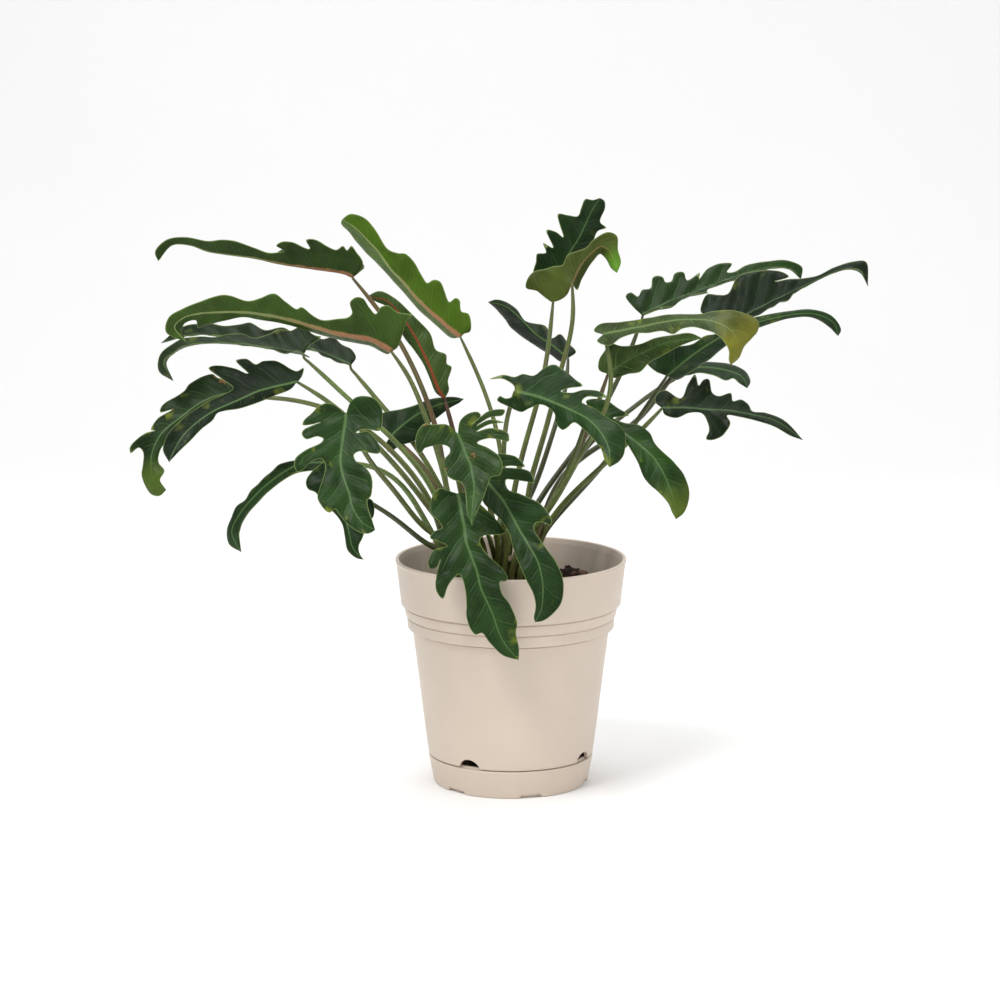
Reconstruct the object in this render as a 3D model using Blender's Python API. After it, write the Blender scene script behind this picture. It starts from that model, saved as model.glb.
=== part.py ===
"""Potted philodendron: lobed leaves on long stalks from two short stems, soil, a ribbed nursery pot
with a water saucer. Metres, +Z up, origin at the centre of the saucer's underside, front at -Y."""
import bpy
import bmesh
import math
import numpy as np
from mathutils import Vector, noise
from mathutils.kdtree import KDTree
from mathutils.geometry import delaunay_2d_cdt

for ob in list(bpy.data.objects):
    bpy.data.objects.remove(ob, do_unlink=True)

# ---- driving dimensions, metres -----------------------------------------------------------------
RIM_R = 0.100            # outer radius of the pot's rim
RIM_Z = 0.198            # top of the rim
SEAM_Z = 0.0247          # top of the saucer's wall, under the pot's skirt
BASE_R = 0.0665          # saucer underside
POT_FLOOR_Z = 0.040      # upper face of the pot's raised floor
FLOOR_T = 0.003
GAP = 0.0003             # between pieces that touch
SOIL_Z = 0.172           # soil surface at the crown
CROWN_Z = SOIL_Z + 0.0018
STEMS = {1: (-0.038, -0.006), 2: (0.004, 0.006)}
STEM_R = 0.0105
STEM_H = 0.026
STEM_TURN = {1: -3.05, 2: -3.0}
STALK_RING = 0.0152      # the stalks' circle round each stem
STALK_RISE = 0.026
STALK_R0 = 0.0028
STALK_R1 = 0.0017
STALK_END_GAP = 0.0034
STALK_STEP = 0.005
STALK_CLEAR = 0.0016
BLADE_CLEAR = 0.0022
BLADE_T = 0.0010
BLADE_GRID = 15.0        # spacing inside a blade, in units of UNIT
NOTCHES = 4              # watering notches above the seam
NOTCH_TURN = math.radians(-120.0)
NOTCH_W, NOTCH_H = 0.020, 0.0085
FEET_NOTCHES = 6
FEET_TURN = math.radians(-75.0)
DRAIN_R = 0.0045

# ---- measuring view: outline points are (u, v) read in a 1000 x 1000 frame seen from EYE ----
EYE = (-0.0094, -2.6, 0.713)        # metres
PITCH = math.radians(10.14)         # looking slightly down
FOCAL = 3061.0                      # frame units
UNIT = 0.000866                     # one frame unit at the pot's axis, metres


def at(u, v, y):
    """World points on the sight lines through (u, v) at depth y (arrays allowed)."""
    u, v, y = np.asarray(u, float), np.asarray(v, float), np.asarray(y, float)
    a, b = (u - 500.0) / FOCAL, -(v - 500.0) / FOCAL
    dy = math.cos(PITCH) + b * math.sin(PITCH)
    dz = -math.sin(PITCH) + b * math.cos(PITCH)
    t = (y - EYE[1]) / dy
    return np.stack([EYE[0] + t * a, y + 0 * t, EYE[2] + t * dz], -1)


# ---- leaf blades -------------------------------------------------------------------------------
# m: midrib (u, v) from the leaf's base to its tip; y: depth of the midrib at base, middle, tip.
# Each half is one of
#   ("P", g, [(u, v) ...])   its outline from base to tip, leaning back by g per unit of width
#   ("V", (x, y, z), k)      the other half's outline mirrored, lying along this direction, k wide
# top: whether the upper surface faces the front. p: the stalk's way from the crown to the base.
LEAVES = {
    "a": dict(stem=1, top=1, y=(-.100, -.140, -.170), p=[(430, 536, -.034), (395, 490, -.064), (367, 459, -.086)],
        m=[(346, 415), (344, 431), (341, 451), (341, 468), (348, 490), (353, 508), (362, 522), (375, 530)],
        h=[("P", -.25, [(336, 405.5), (327, 403), (319.5, 405.5), (310.6, 414.4), (303, 422), (302.5, 425), (311, 425), (320, 423),
             (311, 426), (304, 429), (302, 434), (306, 439), (318, 436), (323.4, 438.7), (321, 442.5), (305.5, 450), (295, 459),
             (294, 466), (297, 472), (301.7, 470.6), (312, 461.6), (321, 459), (324.6, 463), (324.6, 472), (319.5, 488.4),
             (317.6, 498.6), (324.6, 510), (329.7, 512.7), (335, 509), (340, 515), (349, 525.4), (361.6, 533), (369, 533.5)]),
           ("P", -.25, [(350, 403), (356.5, 397), (366.7, 396), (375.7, 399), (382, 410.6), (382, 426), (379.5, 431), (369, 429.7),
             (361, 429.7), (356, 433), (368, 432), (374.4, 437.4), (380.8, 449), (378, 454), (369, 453), (359, 451.4), (354, 455.3),
             (356.5, 461.6), (363, 465), (369, 472), (373, 482), (370.8, 496), (367.4, 500), (368, 507.6), (372, 519)])]),
    "b": dict(stem=1, top=1, y=(-.104, -.124, -.150), p=[(470, 550), (462, 500), (455, 455)],
        m=[(458, 434), (464, 449), (470.6, 466), (474, 487.6), (472, 510), (472, 526)],
        h=[("P", -.25, [(447, 424.6), (433, 424.6), (424, 424), (418, 431), (415, 444), (417.8, 452.7), (421.6, 453), (424, 449),
             (433, 446), (444.5, 445), (449.6, 448), (449.6, 453), (444.5, 459), (444, 466.7), (447, 475.7), (453.5, 479.5),
             (461, 482), (465, 491), (466, 501), (467, 514)]),
           ("P", -.25, [(460, 421), (468, 413.6), (478, 411.7), (481, 415), (472, 424), (489, 410.8), (505, 410), (503, 415),
             (490, 417.3), (477, 425.6), (489.7, 419.5), (504, 422.5), (490, 424.5), (477, 431.5), (491, 428), (507.6, 432.7),
             (509, 441.6), (501, 440), (488.5, 438), (477, 442.6), (488.5, 448), (500, 457), (502.5, 466), (500, 474.8),
             (491, 477), (488.5, 482.4), (484.6, 495), (478, 510.5)])]),
    "c": dict(stem=2, top=1, y=(-.074, -.1135, -.120), p=[(492, 556, -.030), (482, 524, -.058)],
        m=[(458, 494), (464, 526), (466.8, 543.7), (475.7, 567.5), (481.8, 590.4), (491, 610), (503, 641), (518.6, 660)],
        h=[("P", -.22, [(449.6, 491), (439, 488.4), (431, 500), (430.5, 512.7), (438, 521), (442, 527), (434, 531), (430, 538),
             (437, 541), (447, 546), (434, 550), (428, 563), (430, 569), (436, 568), (440, 560), (436.5, 574), (436, 590.4),
             (442.8, 598.8), (448, 586), (455.8, 576), (459, 574), (462, 578), (465, 589), (466.5, 605.7), (466.5, 618),
             (471, 630), (475.7, 634.8), (481.8, 633), (489.5, 642.5), (503, 655.5)]),
           ("P", -.22, [(466, 492), (478, 502), (492, 515), (503, 528), (506, 533), (502, 535.5), (496, 535.5), (484.6, 535.5), (480, 540),
             (483, 549), (494, 561), (504, 570), (508, 578), (506, 581), (500, 581.5), (502, 593.5), (511, 605.7), (517, 624),
             (516, 633), (519, 648)])]),
    "d": dict(stem=2, top=1, y=(-.050, -.126, -.138), p=[(498, 545, -.018), (490, 505, -.034)],
        m=[(480, 474), (491, 486), (503.8, 501.6), (516.5, 524.5), (526.7, 542), (537, 560), (542, 578), (543, 596.5), (541, 610), (535, 622)],
        h=[("P", -.15, [(482, 500), (492, 511.8), (500, 519), (509.4, 533.8), (512.5, 546), (520, 566), (526, 579.7), (533, 593.5),
             (535.5, 605.7), (534, 618)]),
           ("P", -.15, [(484, 455), (501, 454), (516.5, 457), (524, 466), (511, 466), (497, 468), (512, 468), (524, 468.8), (531.8, 473.5),
             (534.4, 483.7), (529, 482.4), (516.5, 480), (506, 479.3), (505, 482.4), (508.9, 490), (516.5, 492.6), (529.3, 497.8),
             (539.5, 503), (548.4, 513), (552.2, 520.7), (551, 525), (543.3, 522.6), (536.3, 523), (534.4, 529.6), (539.5, 538.6),
             (548.4, 551.3), (555, 559.8), (561.4, 573.6), (563.7, 587), (561.4, 602.7), (553.8, 613), (543, 621)])]),
    "e": dict(stem=2, top=1, y=(-.050, -.085, -.140), p=[(501, 550, -.010), (503, 470, -.030), (506, 415, -.042)],
        m=[(515, 391), (528, 394), (542, 398), (567.5, 408.5), (589, 420), (603, 436), (609, 450), (609.6, 467)],
        h=[("P", .85, [(514, 386), (503, 379), (490, 379), (503, 375), (515, 377), (523, 374), (534, 375), (546, 367.7), (554.8, 365),
             (562.4, 369), (572.7, 376.6), (582.9, 386.8), (571, 387), (561, 391), (572, 392.5), (584, 390.8), (598, 390.6), (607, 397),
             (598, 396.8), (586.7, 397), (582, 402), (592, 407), (604, 415), (618, 425), (625, 433), (624, 454), (618.6, 462)]),
           ("P", -.2, [(511.4, 397), (505, 398.3), (500, 396), (497, 400), (509, 407), (521.6, 412), (529, 408.5), (540.8, 404.5),
             (551, 409.5), (554.8, 414.8), (554.8, 421), (562.4, 430), (567.5, 427.6), (574, 422.5), (582.9, 428.6), (593, 439),
             (601, 449), (605, 460.8)])]),
    "f": dict(stem=2, top=1, y=(-.028, -.056, -.100), p=[(520, 545, -.004), (545, 520, -.012), (562, 482, -.016), (580, 444, -.023)],
        m=[(590, 408), (605, 418), (625.5, 434), (644.6, 449), (656, 461), (666, 479), (673, 498), (676, 519)],
        h=[("P", .75, [(586, 401), (597, 398.5), (609, 402), (618.6, 408.5), (628.8, 415), (613, 418), (624, 422.5), (638, 425),
             (649.7, 432.7), (654.8, 443), (663.8, 453), (675, 463), (684, 474.8), (688.6, 488.8), (688, 504), (683, 514)]),
           ("P", -.2, [(590, 414), (598, 422), (611, 431), (624, 440), (632, 452), (638, 463), (644.6, 478.6), (658.7, 492.6),
             (668, 503), (672, 512)])]),
    "g": dict(stem=2, top=0, y=(.012, .020, .012), p=[(525, 500, .010), (540, 450, .010), (551, 411, .011), (562, 363, .012), (575, 325, .012)],
        m=[(572, 283), (580, 266), (590, 254), (601, 246), (609, 250), (614, 259), (617, 273)],
        h=[("P", .15, [(566, 296), (552, 302), (545, 297), (537, 291), (526, 288), (528, 278), (534, 271.6), (544.6, 269),
             (554.8, 266), (562.4, 265), (567.5, 255), (577, 251), (586.7, 247), (593, 240), (608, 232), (617, 236), (618, 250),
             (621, 262)]),
           ("P", .9, [(577, 290), (582, 279), (588, 268), (594, 260), (600, 254), (606, 259), (611, 268)])]),
    "h": dict(stem=2, top=1, y=(.050, .060, .070), p=[(512, 500, .022), (526, 440, .030), (540, 395, .036), (549, 345, .045)],
        m=[(553, 303), (560, 275), (568, 255), (577, 241), (585, 225), (592, 210), (600, 198)],
        h=[("P", -.2, [(543, 296), (533.8, 286), (533, 271.6), (536, 262), (537, 254), (546, 252.5), (543.3, 243), (553, 247.7),
             (546, 230), (556, 232), (563, 237), (558, 214), (567.5, 215), (577.8, 216), (581, 208), (585.4, 199), (593, 200)]),
           ("P", .5, [(562, 296), (572, 285), (580, 270), (588, 252), (594, 240), (598, 231), (605.8, 227.6), (600, 222), (605, 208),
             (604.5, 201)])]),
    "i": dict(stem=2, top=1, e=-1, y=(.095, .130, .160), p=[(530, 500, .046), (547, 452, .057), (560, 410, .070), (570, 378, .085)],
        m=[(568, 358), (552, 345), (536, 334), (520, 318), (505, 306), (488, 302)],
        h=[("P", .7, [(576, 352), (567.5, 342.4), (560, 334), (552, 338), (546, 326.5), (525.5, 321), (516.5, 309), (503.8, 301), (496, 299.6)]),
           ("P", 1.3, [(562, 362), (551, 355), (540, 349), (528, 340.7), (511, 328), (504, 318), (496, 309)])]),
    "j": dict(stem=2, top=1, e=0, y=(.060, .110, .145), p=[(545, 490, .034), (575, 452, .042), (604, 408, .050), (627, 360, .056)],
        m=[(642, 315), (671, 301.6), (702, 290), (734, 277.4), (769, 268.5), (789, 269), (801, 279)],
        h=[("P", .8, [(634, 308), (626, 297), (631, 292.7), (638, 296.5), (642, 290), (651, 287), (653, 277.4), (662.5, 278.7),
             (665, 283), (671.4, 281), (675, 273), (684, 272), (687, 280), (699.5, 273.6), (699, 279), (708.4, 267.8), (722.4, 263),
             (732, 264), (727, 272), (734, 272), (746.7, 265), (766, 261.5), (788, 260.5), (802, 267)]),
           ("V", (.1, -.97, .09), 1.5)]),
    "k": dict(stem=2, top=1, e=0, y=(.018, .030, .020), p=[(560, 475, .022), (600, 445, .020), (642, 420, .015), (675, 370, .012), (718, 334, .008)],
        m=[(745, 316), (770, 303), (807, 285), (834, 272.5), (850, 269), (861, 273), (868, 286)],
        h=[("P", .7, [(733, 322), (715, 318), (700.8, 311.8), (702, 301.6), (707, 295), (718, 295), (727.6, 294), (735, 280),
             (740, 276), (765.8, 269.7), (781.6, 272), (789, 277), (775, 281), (792, 279), (805, 278), (818, 275.5), (834, 267.5),
             (852, 261.8), (866, 262)]),
           ("V", (.15, -.97, .10), 1.1)]),
    "m": dict(stem=2, top=1, y=(-.040, -.070, -.100), p=[(550, 510, -.018), (580, 455, -.034), (611, 402, -.042), (612, 362, -.044)],
        m=[(604, 334), (640, 327), (680, 320), (715, 322), (733, 333), (737, 347), (731, 365)],
        h=[("P", 1.1, [(594, 331), (598, 325), (620.4, 322), (632, 320.5), (651, 317.5), (666, 314.7), (702, 313.7), (714.8, 311),
             (740, 311.4), (753, 316), (759, 322), (757, 332), (752, 338), (744, 347), (739, 358)]),
           ("P", -1.0, [(597, 341), (609.6, 345.6), (621, 338), (634, 333.5), (648.5, 333), (662.5, 331), (674, 334), (682, 329), (693, 327),
             (708.4, 331), (719, 336), (725, 343), (729, 352), (729, 360)])]),
    "n": dict(stem=2, top=1, y=(-.024, -.034, -.038), p=[(552, 500, .005), (575, 460, .002), (594, 415, .000)],
        m=[(608, 374), (625.5, 361.6), (651, 349), (669, 342), (702, 338)],
        h=[("P", .2, [(599, 370), (599, 360), (603.8, 352), (610, 343.7), (622, 346), (640, 344), (655, 338), (672, 335), (690, 333)]),
           ("P", -.5, [(614, 378), (628, 374), (640, 372), (650, 362), (662, 356), (678, 347), (690, 342)])]),
    "o": dict(stem=2, top=1, y=(-.004, -.030, -.024), p=[(535, 540, .012), (567, 505, .010), (606, 462, .005), (635, 424, -.003)],
        m=[(667, 376), (690, 357), (712, 342), (740, 328), (789, 315), (815, 314), (834, 323), (838, 336)],
        h=[("P", .8, [(655, 371), (645, 360), (646, 347), (660, 344), (676, 346), (692, 344), (705, 336), (718, 333), (738, 321), (760, 316),
             (789, 311), (812, 309.5), (832, 316), (841, 330)]),
           ("P", .9, [(676, 380), (692, 371), (706, 362), (722, 349), (742, 335), (764, 326), (789, 318.5), (812, 317.5), (829, 327)])]),
    "p": dict(stem=2, top=1, y=(-.040, -.055, -.080), p=[(548, 520, .002), (600, 468, -.012), (640, 432, -.028)],
        m=[(662.5, 407.8), (689, 407.8), (708.4, 409.7), (727.6, 410.4), (753, 414.8), (776, 421), (803, 440)],
        h=[("P", .8, [(655, 402), (657, 394), (666, 391), (681, 398), (688, 383), (695, 374), (699, 386), (703, 382), (709, 380), (712, 392),
             (719, 396), (731, 393), (733, 401), (741, 400), (749, 405), (752, 411), (766, 413), (785, 421)]),
           ("P", -.4, [(664, 414), (676, 418), (689, 413), (702, 413.5), (708, 423.8), (709, 431.4), (706, 439), (713, 440), (727.6, 430),
             (730.5, 422.5), (727, 415.5), (740, 417), (757, 421), (775, 427), (790, 435.5)])]),
    "q": dict(stem=2, top=1, y=(.050, .060, .045), p=[(558, 490, .030), (592, 438, .036), (628, 413, .042), (657, 388, .047)],
        m=[(680, 376), (690, 369.5), (705, 367.5), (728, 371), (742, 377), (747.3, 388)],
        h=[("P", 2.2, [(681, 370), (694.4, 363.5), (712, 362), (727.6, 363.5), (737.8, 366.7), (746.7, 373), (750.5, 382)]),
           ("P", -2.2, [(689, 375), (699.5, 373), (714.8, 375.8), (727, 380.5), (733, 378.5), (739, 383)])]),
    "r": dict(stem=1, top=0, y=(.050, .070, .080), p=[(447, 500), (440, 440), (414, 368), (388, 322)],
        m=[(353, 277), (344, 273), (318, 269), (280, 263.5), (255, 258), (225, 254), (207, 251), (190, 245), (172, 245), (158, 261)],
        h=[("P", -.6, [(360, 271), (363, 262), (356.5, 253), (351, 246), (347, 250.5), (343, 246), (336, 250), (321, 242), (306, 240),
             (309.5, 249), (291, 241.5), (283, 241.5), (276, 246), (284, 250.5), (270.5, 253), (255, 248), (241, 243), (225, 239.5),
             (207, 241), (186, 237), (166, 240), (155, 252)]),
           ("V", (-.05, .85, .48), 1.35)]),
    "s": dict(stem=2, top=0, y=(.080, .120, .145), p=[(503, 500, .032), (502, 455, .042), (491, 408, .056), (477, 372, .069)],
        m=[(461, 337), (442, 321), (420, 301), (401, 279), (391, 269), (379.5, 252.5), (369, 241), (355, 227), (342.5, 219)],
        h=[("P", -.45, [(463.7, 334), (470, 331.6), (471, 323), (468, 313.5), (462, 311.5), (460, 301), (455, 298), (449, 302),
             (444.5, 291), (440, 281), (433, 280), (427, 283), (415, 263), (406, 254), (397, 253), (388, 249), (374, 228),
             (363, 217), (350, 214)]),
           ("P", 2.4, [(452, 338), (437, 326), (420, 311), (404, 293), (386, 273), (371, 257.5), (358, 244), (349, 232), (341, 223)])]),
    "t": dict(stem=1, top=0, y=(-.020, -.040, -.052), p=[(448, 490), (434, 440), (421, 405), (410, 374)],
        m=[(392, 351), (374, 340.5), (337, 333), (305.5, 324), (287, 318.6), (247.5, 312), (225, 311.5), (200, 313), (184, 317),
           (174, 327), (186, 342)],
        h=[("P", -.5, [(397, 348), (401, 339), (407.5, 319), (413, 314), (397, 312.5), (388, 306), (381, 307), (375.7, 314), (369, 307),
             (363, 298), (356.5, 296.5), (350, 303), (352, 313), (347, 318), (336, 319), (322, 320), (312, 315), (301, 307),
             (297, 309), (286, 302), (275, 294), (260, 298), (247.5, 301), (231, 296), (219.5, 295), (202, 301), (184, 308), (169, 317),
             (166, 332)]),
           ("P", 2.2, [(388, 354), (370, 346), (340, 340), (308, 331), (285, 324), (258, 319.5), (245, 317), (230, 319.5), (209, 324.5),
             (198, 328.5), (196, 320.5), (185, 323), (182, 330)])]),
    "u": dict(stem=1, top=1, e=0, y=(-.002, -.012, -.030), p=[(440, 500), (395, 440), (351, 402), (327, 378)],
        m=[(304, 354), (280, 350), (253, 345.5), (225, 343), (200, 343.5), (180, 349), (166, 362), (173, 381)],
        h=[("P", 1.1, [(310, 345), (321, 336), (311, 332.6), (300, 327), (290, 331), (279, 328), (270, 334), (254, 338), (242, 333.5),
             (231, 334), (215, 337), (198, 336.5), (177, 341), (160, 355), (159, 371)]),
           ("V", (-.05, -.95, .12), 1.4)]),
    "v": dict(stem=1, top=1, e=0, y=(.060, .085, .100), p=[(446, 500), (420, 450), (380, 404), (360, 378)],
        m=[(351, 365), (330, 356), (305.5, 347), (270, 341), (230, 337), (195, 334.5), (161, 343)],
        h=[("P", 1.2, [(356, 358), (352, 350), (341, 343), (333, 338), (322, 339), (310, 333), (296, 335), (282, 327), (266, 330), (248, 323),
             (226, 326), (203, 323), (180, 328)]),
           ("V", (-.1, -.95, .10), 1.4)]),
    "w": dict(stem=1, top=1, y=(-.060, -.090, -.120), p=[(438, 520, -.018), (400, 470, -.034), (351, 420, -.050), (322, 396, -.056)],
        m=[(297, 381.7), (276, 386.5), (260, 390.6), (247.5, 396), (232, 403), (214, 411), (194, 425), (180, 440), (169, 462)],
        h=[("P", .95, [(302, 376), (303.7, 368), (297, 371), (283, 364.5), (273, 361), (263, 361), (256, 364), (246, 358), (236, 361),
             (248, 373), (235, 369.6), (219.5, 365), (208.6, 367.7), (222, 379), (233, 388), (222, 395), (207, 402), (191, 412),
             (177, 424), (166, 437), (163, 450)]),
           ("P", -.35, [(291, 389), (274, 396), (257, 403), (240, 408.5), (224, 411), (217, 413.5), (213, 420), (201.6, 429),
             (191.4, 439.8), (178.5, 452)])]),
    "x": dict(stem=1, top=1, y=(-.012, -.018, -.040), p=[(434, 505), (390, 448), (345, 415), (290, 398)],
        m=[(249, 397), (226, 394), (202, 402), (180, 418), (163, 432), (154, 447), (151, 465), (154, 480), (166, 490)],
        h=[("P", .7, [(247, 389), (235, 383), (217, 377), (213, 374), (204, 376.6), (189, 384), (184.4, 390.6), (171, 399.5), (161, 407),
             (160, 412), (172, 410), (158, 418), (151, 430), (155, 430.5), (146, 433), (136.6, 440), (129.6, 448), (130, 453), (139, 447.7), (143, 452),
             (143, 464), (141.7, 475), (145.5, 486), (152, 494.6), (159.5, 496)]),
           ("P", -.2, [(242, 402), (228, 404), (209, 410), (193, 419), (180, 430), (168, 440), (160.5, 450), (158.5, 462), (164.6, 471),
             (160, 480)])]),
    "y": dict(stem=1, top=1, y=(-.030, -.055, -.080), p=[(438, 545), (400, 478), (374, 464), (345, 461)],
        m=[(325, 462), (298, 465), (273, 480), (255, 496), (240, 514), (232, 532), (241, 552)],
        h=[("P", 1.1, [(318, 455), (304, 459), (286, 462), (278, 465), (272, 471), (265, 477), (258, 484), (251, 490), (245, 500), (237, 506),
             (231, 518), (227, 530), (229, 544)]),
           ("P", -1.1, [(318, 469), (302, 472), (290, 476), (281, 482), (272, 489), (263, 497), (254, 507), (246, 517), (240, 530),
             (240, 542)])]),
    "z": dict(stem=1, top=1, y=(-.060, -.078, -.092), p=[(434, 552, -.036), (408, 528, -.056), (385, 510, -.062)],
        m=[(360, 497), (352, 508), (347, 520), (350, 536), (353, 548), (363.5, 559.6)],
        h=[("P", .3, [(350, 478), (337, 468), (324.6, 462), (313, 470.6), (306, 482), (308, 489), (316, 493), (322, 505), (333, 512), (342, 524),
             (345, 538), (347.5, 550), (356, 558)]),
           ("P", -.3, [(372, 500), (374, 515), (366, 527), (363, 537), (358.6, 547), (360, 554.7)])]),
    "n2": dict(stem=1, top=1, y=(.028, .044, .060), p=[(448, 515), (436, 480), (412, 452)],
        m=[(391, 436), (404, 424), (420, 413), (438, 405), (464, 399)],
        h=[("P", .5, [(383, 430), (376, 420), (384, 412), (402, 409), (418, 404), (430, 399), (446, 397), (455, 397)]),
           ("P", -.3, [(386, 444), (388, 452), (402, 445), (416, 440), (424, 428), (437, 418), (450, 408), (459, 403)])]),
    "t2": dict(stem=1, top=1, y=(.030, .042, .055), p=[(462, 500), (459, 450), (451, 422)],
        m=[(444.5, 399), (439, 390), (430.5, 368.6), (420, 345.6), (410, 328), (398, 311), (385, 300), (366, 297)],
        h=[("P", .2, [(449, 390), (448, 381), (451.5, 366.7), (447, 363.7), (446, 354.5), (436, 349.7), (430, 333), (416, 318),
             (407.5, 309.5), (394.8, 298), (379.5, 291)]),
           ("P", .5, [(436, 393), (430, 379), (423, 363.5), (414, 350), (402.7, 335.4), (396, 319), (389, 308), (377, 302)])]),
}


def smooth(points, spacing):
    """Points about `spacing` apart on a smooth curve through the given ones (any dimension)."""
    p = np.asarray(points, float)
    e = np.vstack([2 * p[0] - p[1], p, 2 * p[-1] - p[-2]])
    out = [p[0]]
    for i in range(1, len(e) - 2):
        a, b, c, d = e[i - 1], e[i], e[i + 1], e[i + 2]
        k = [0.0]
        for q, r in ((a, b), (b, c), (c, d)):
            k.append(k[-1] + max(math.sqrt(np.linalg.norm(r - q)), 1e-6))
        n = max(1, int(round(np.linalg.norm(c - b) / spacing)))
        for j in range(1, n + 1):
            t = k[1] + (k[2] - k[1]) * j / n
            a1 = a * (k[1] - t) / (k[1] - k[0]) + b * (t - k[0]) / (k[1] - k[0])
            a2 = b * (k[2] - t) / (k[2] - k[1]) + c * (t - k[1]) / (k[2] - k[1])
            a3 = c * (k[3] - t) / (k[3] - k[2]) + d * (t - k[2]) / (k[3] - k[2])
            b1 = a1 * (k[2] - t) / (k[2] - k[0]) + a2 * (t - k[0]) / (k[2] - k[0])
            b2 = a2 * (k[3] - t) / (k[3] - k[1]) + a3 * (t - k[1]) / (k[3] - k[1])
            out.append(b1 * (k[2] - t) / (k[2] - k[1]) + b2 * (t - k[1]) / (k[2] - k[1]))
    return np.array(out)


def along(poly):
    return np.concatenate([[0], np.cumsum(np.linalg.norm(np.diff(poly, axis=0), axis=1))])


def project(curve, pts):
    """Arc length and signed distance (left of travel positive, v down) of points to a flat curve."""
    s = along(curve)
    a, d = curve[:-1], np.diff(curve, axis=0)
    ln = np.linalg.norm(d, axis=1)
    t = d / ln[:, None]
    rel = pts[:, None, :] - a[None]
    k = (rel * t).sum(-1)
    lo, hi = np.zeros(len(ln)), ln.copy()
    lo[0], hi[-1] = -1e9, 1e9
    kc = np.clip(k, lo, hi)
    off = rel - kc[..., None] * t
    dist = np.linalg.norm(off, axis=-1)
    i = dist.argmin(1)
    r = np.arange(len(pts))
    side = np.sign(t[i, 1] * rel[r, i, 0] - t[i, 0] * rel[r, i, 1])
    return s[i] + kc[r, i], side * dist[r, i]


def inside(poly, pts):
    x, y = pts[:, 0], pts[:, 1]
    res = np.zeros(len(pts), bool)
    for (x1, y1), (x2, y2) in zip(poly, np.roll(poly, -1, axis=0)):
        if y1 != y2:
            res ^= ((y1 > y) != (y2 > y)) & (x < (x2 - x1) * (y - y1) / (y2 - y1) + x1)
    return res


def edge_gap(line, pts):
    best = np.full(len(pts), 1e9)
    for a, b in zip(line[:-1], line[1:]):
        d = b - a
        t = np.clip(((pts - a) @ d) / max(d @ d, 1e-12), 0, 1)
        best = np.minimum(best, np.linalg.norm(pts - a - t[:, None] * d, axis=1))
    return best


def outline_width(s, w, gap):
    """A half's outline as one width per place along the midrib, its sharp points eased."""
    k = np.linspace(s.min() + .5, s.max() - .5, max(4, int(round((s.max() - s.min()) / gap))))
    best = np.zeros(len(k))
    for a, b, c, d in zip(s[:-1], s[1:], w[:-1], w[1:]):
        if abs(b - a) > 1e-9:
            f = (k - a) / (b - a)
            hit = (f >= 0) & (f <= 1)
            best = np.where(hit, np.maximum(best, c + (d - c) * np.clip(f, 0, 1)), best)
    for _ in range(max(1, int(round(5.0 / gap)))):
        best[1:-1] = best[1:-1] * .5 + (best[:-2] + best[2:]) * .25
    return k, np.maximum(best, .6)


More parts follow.
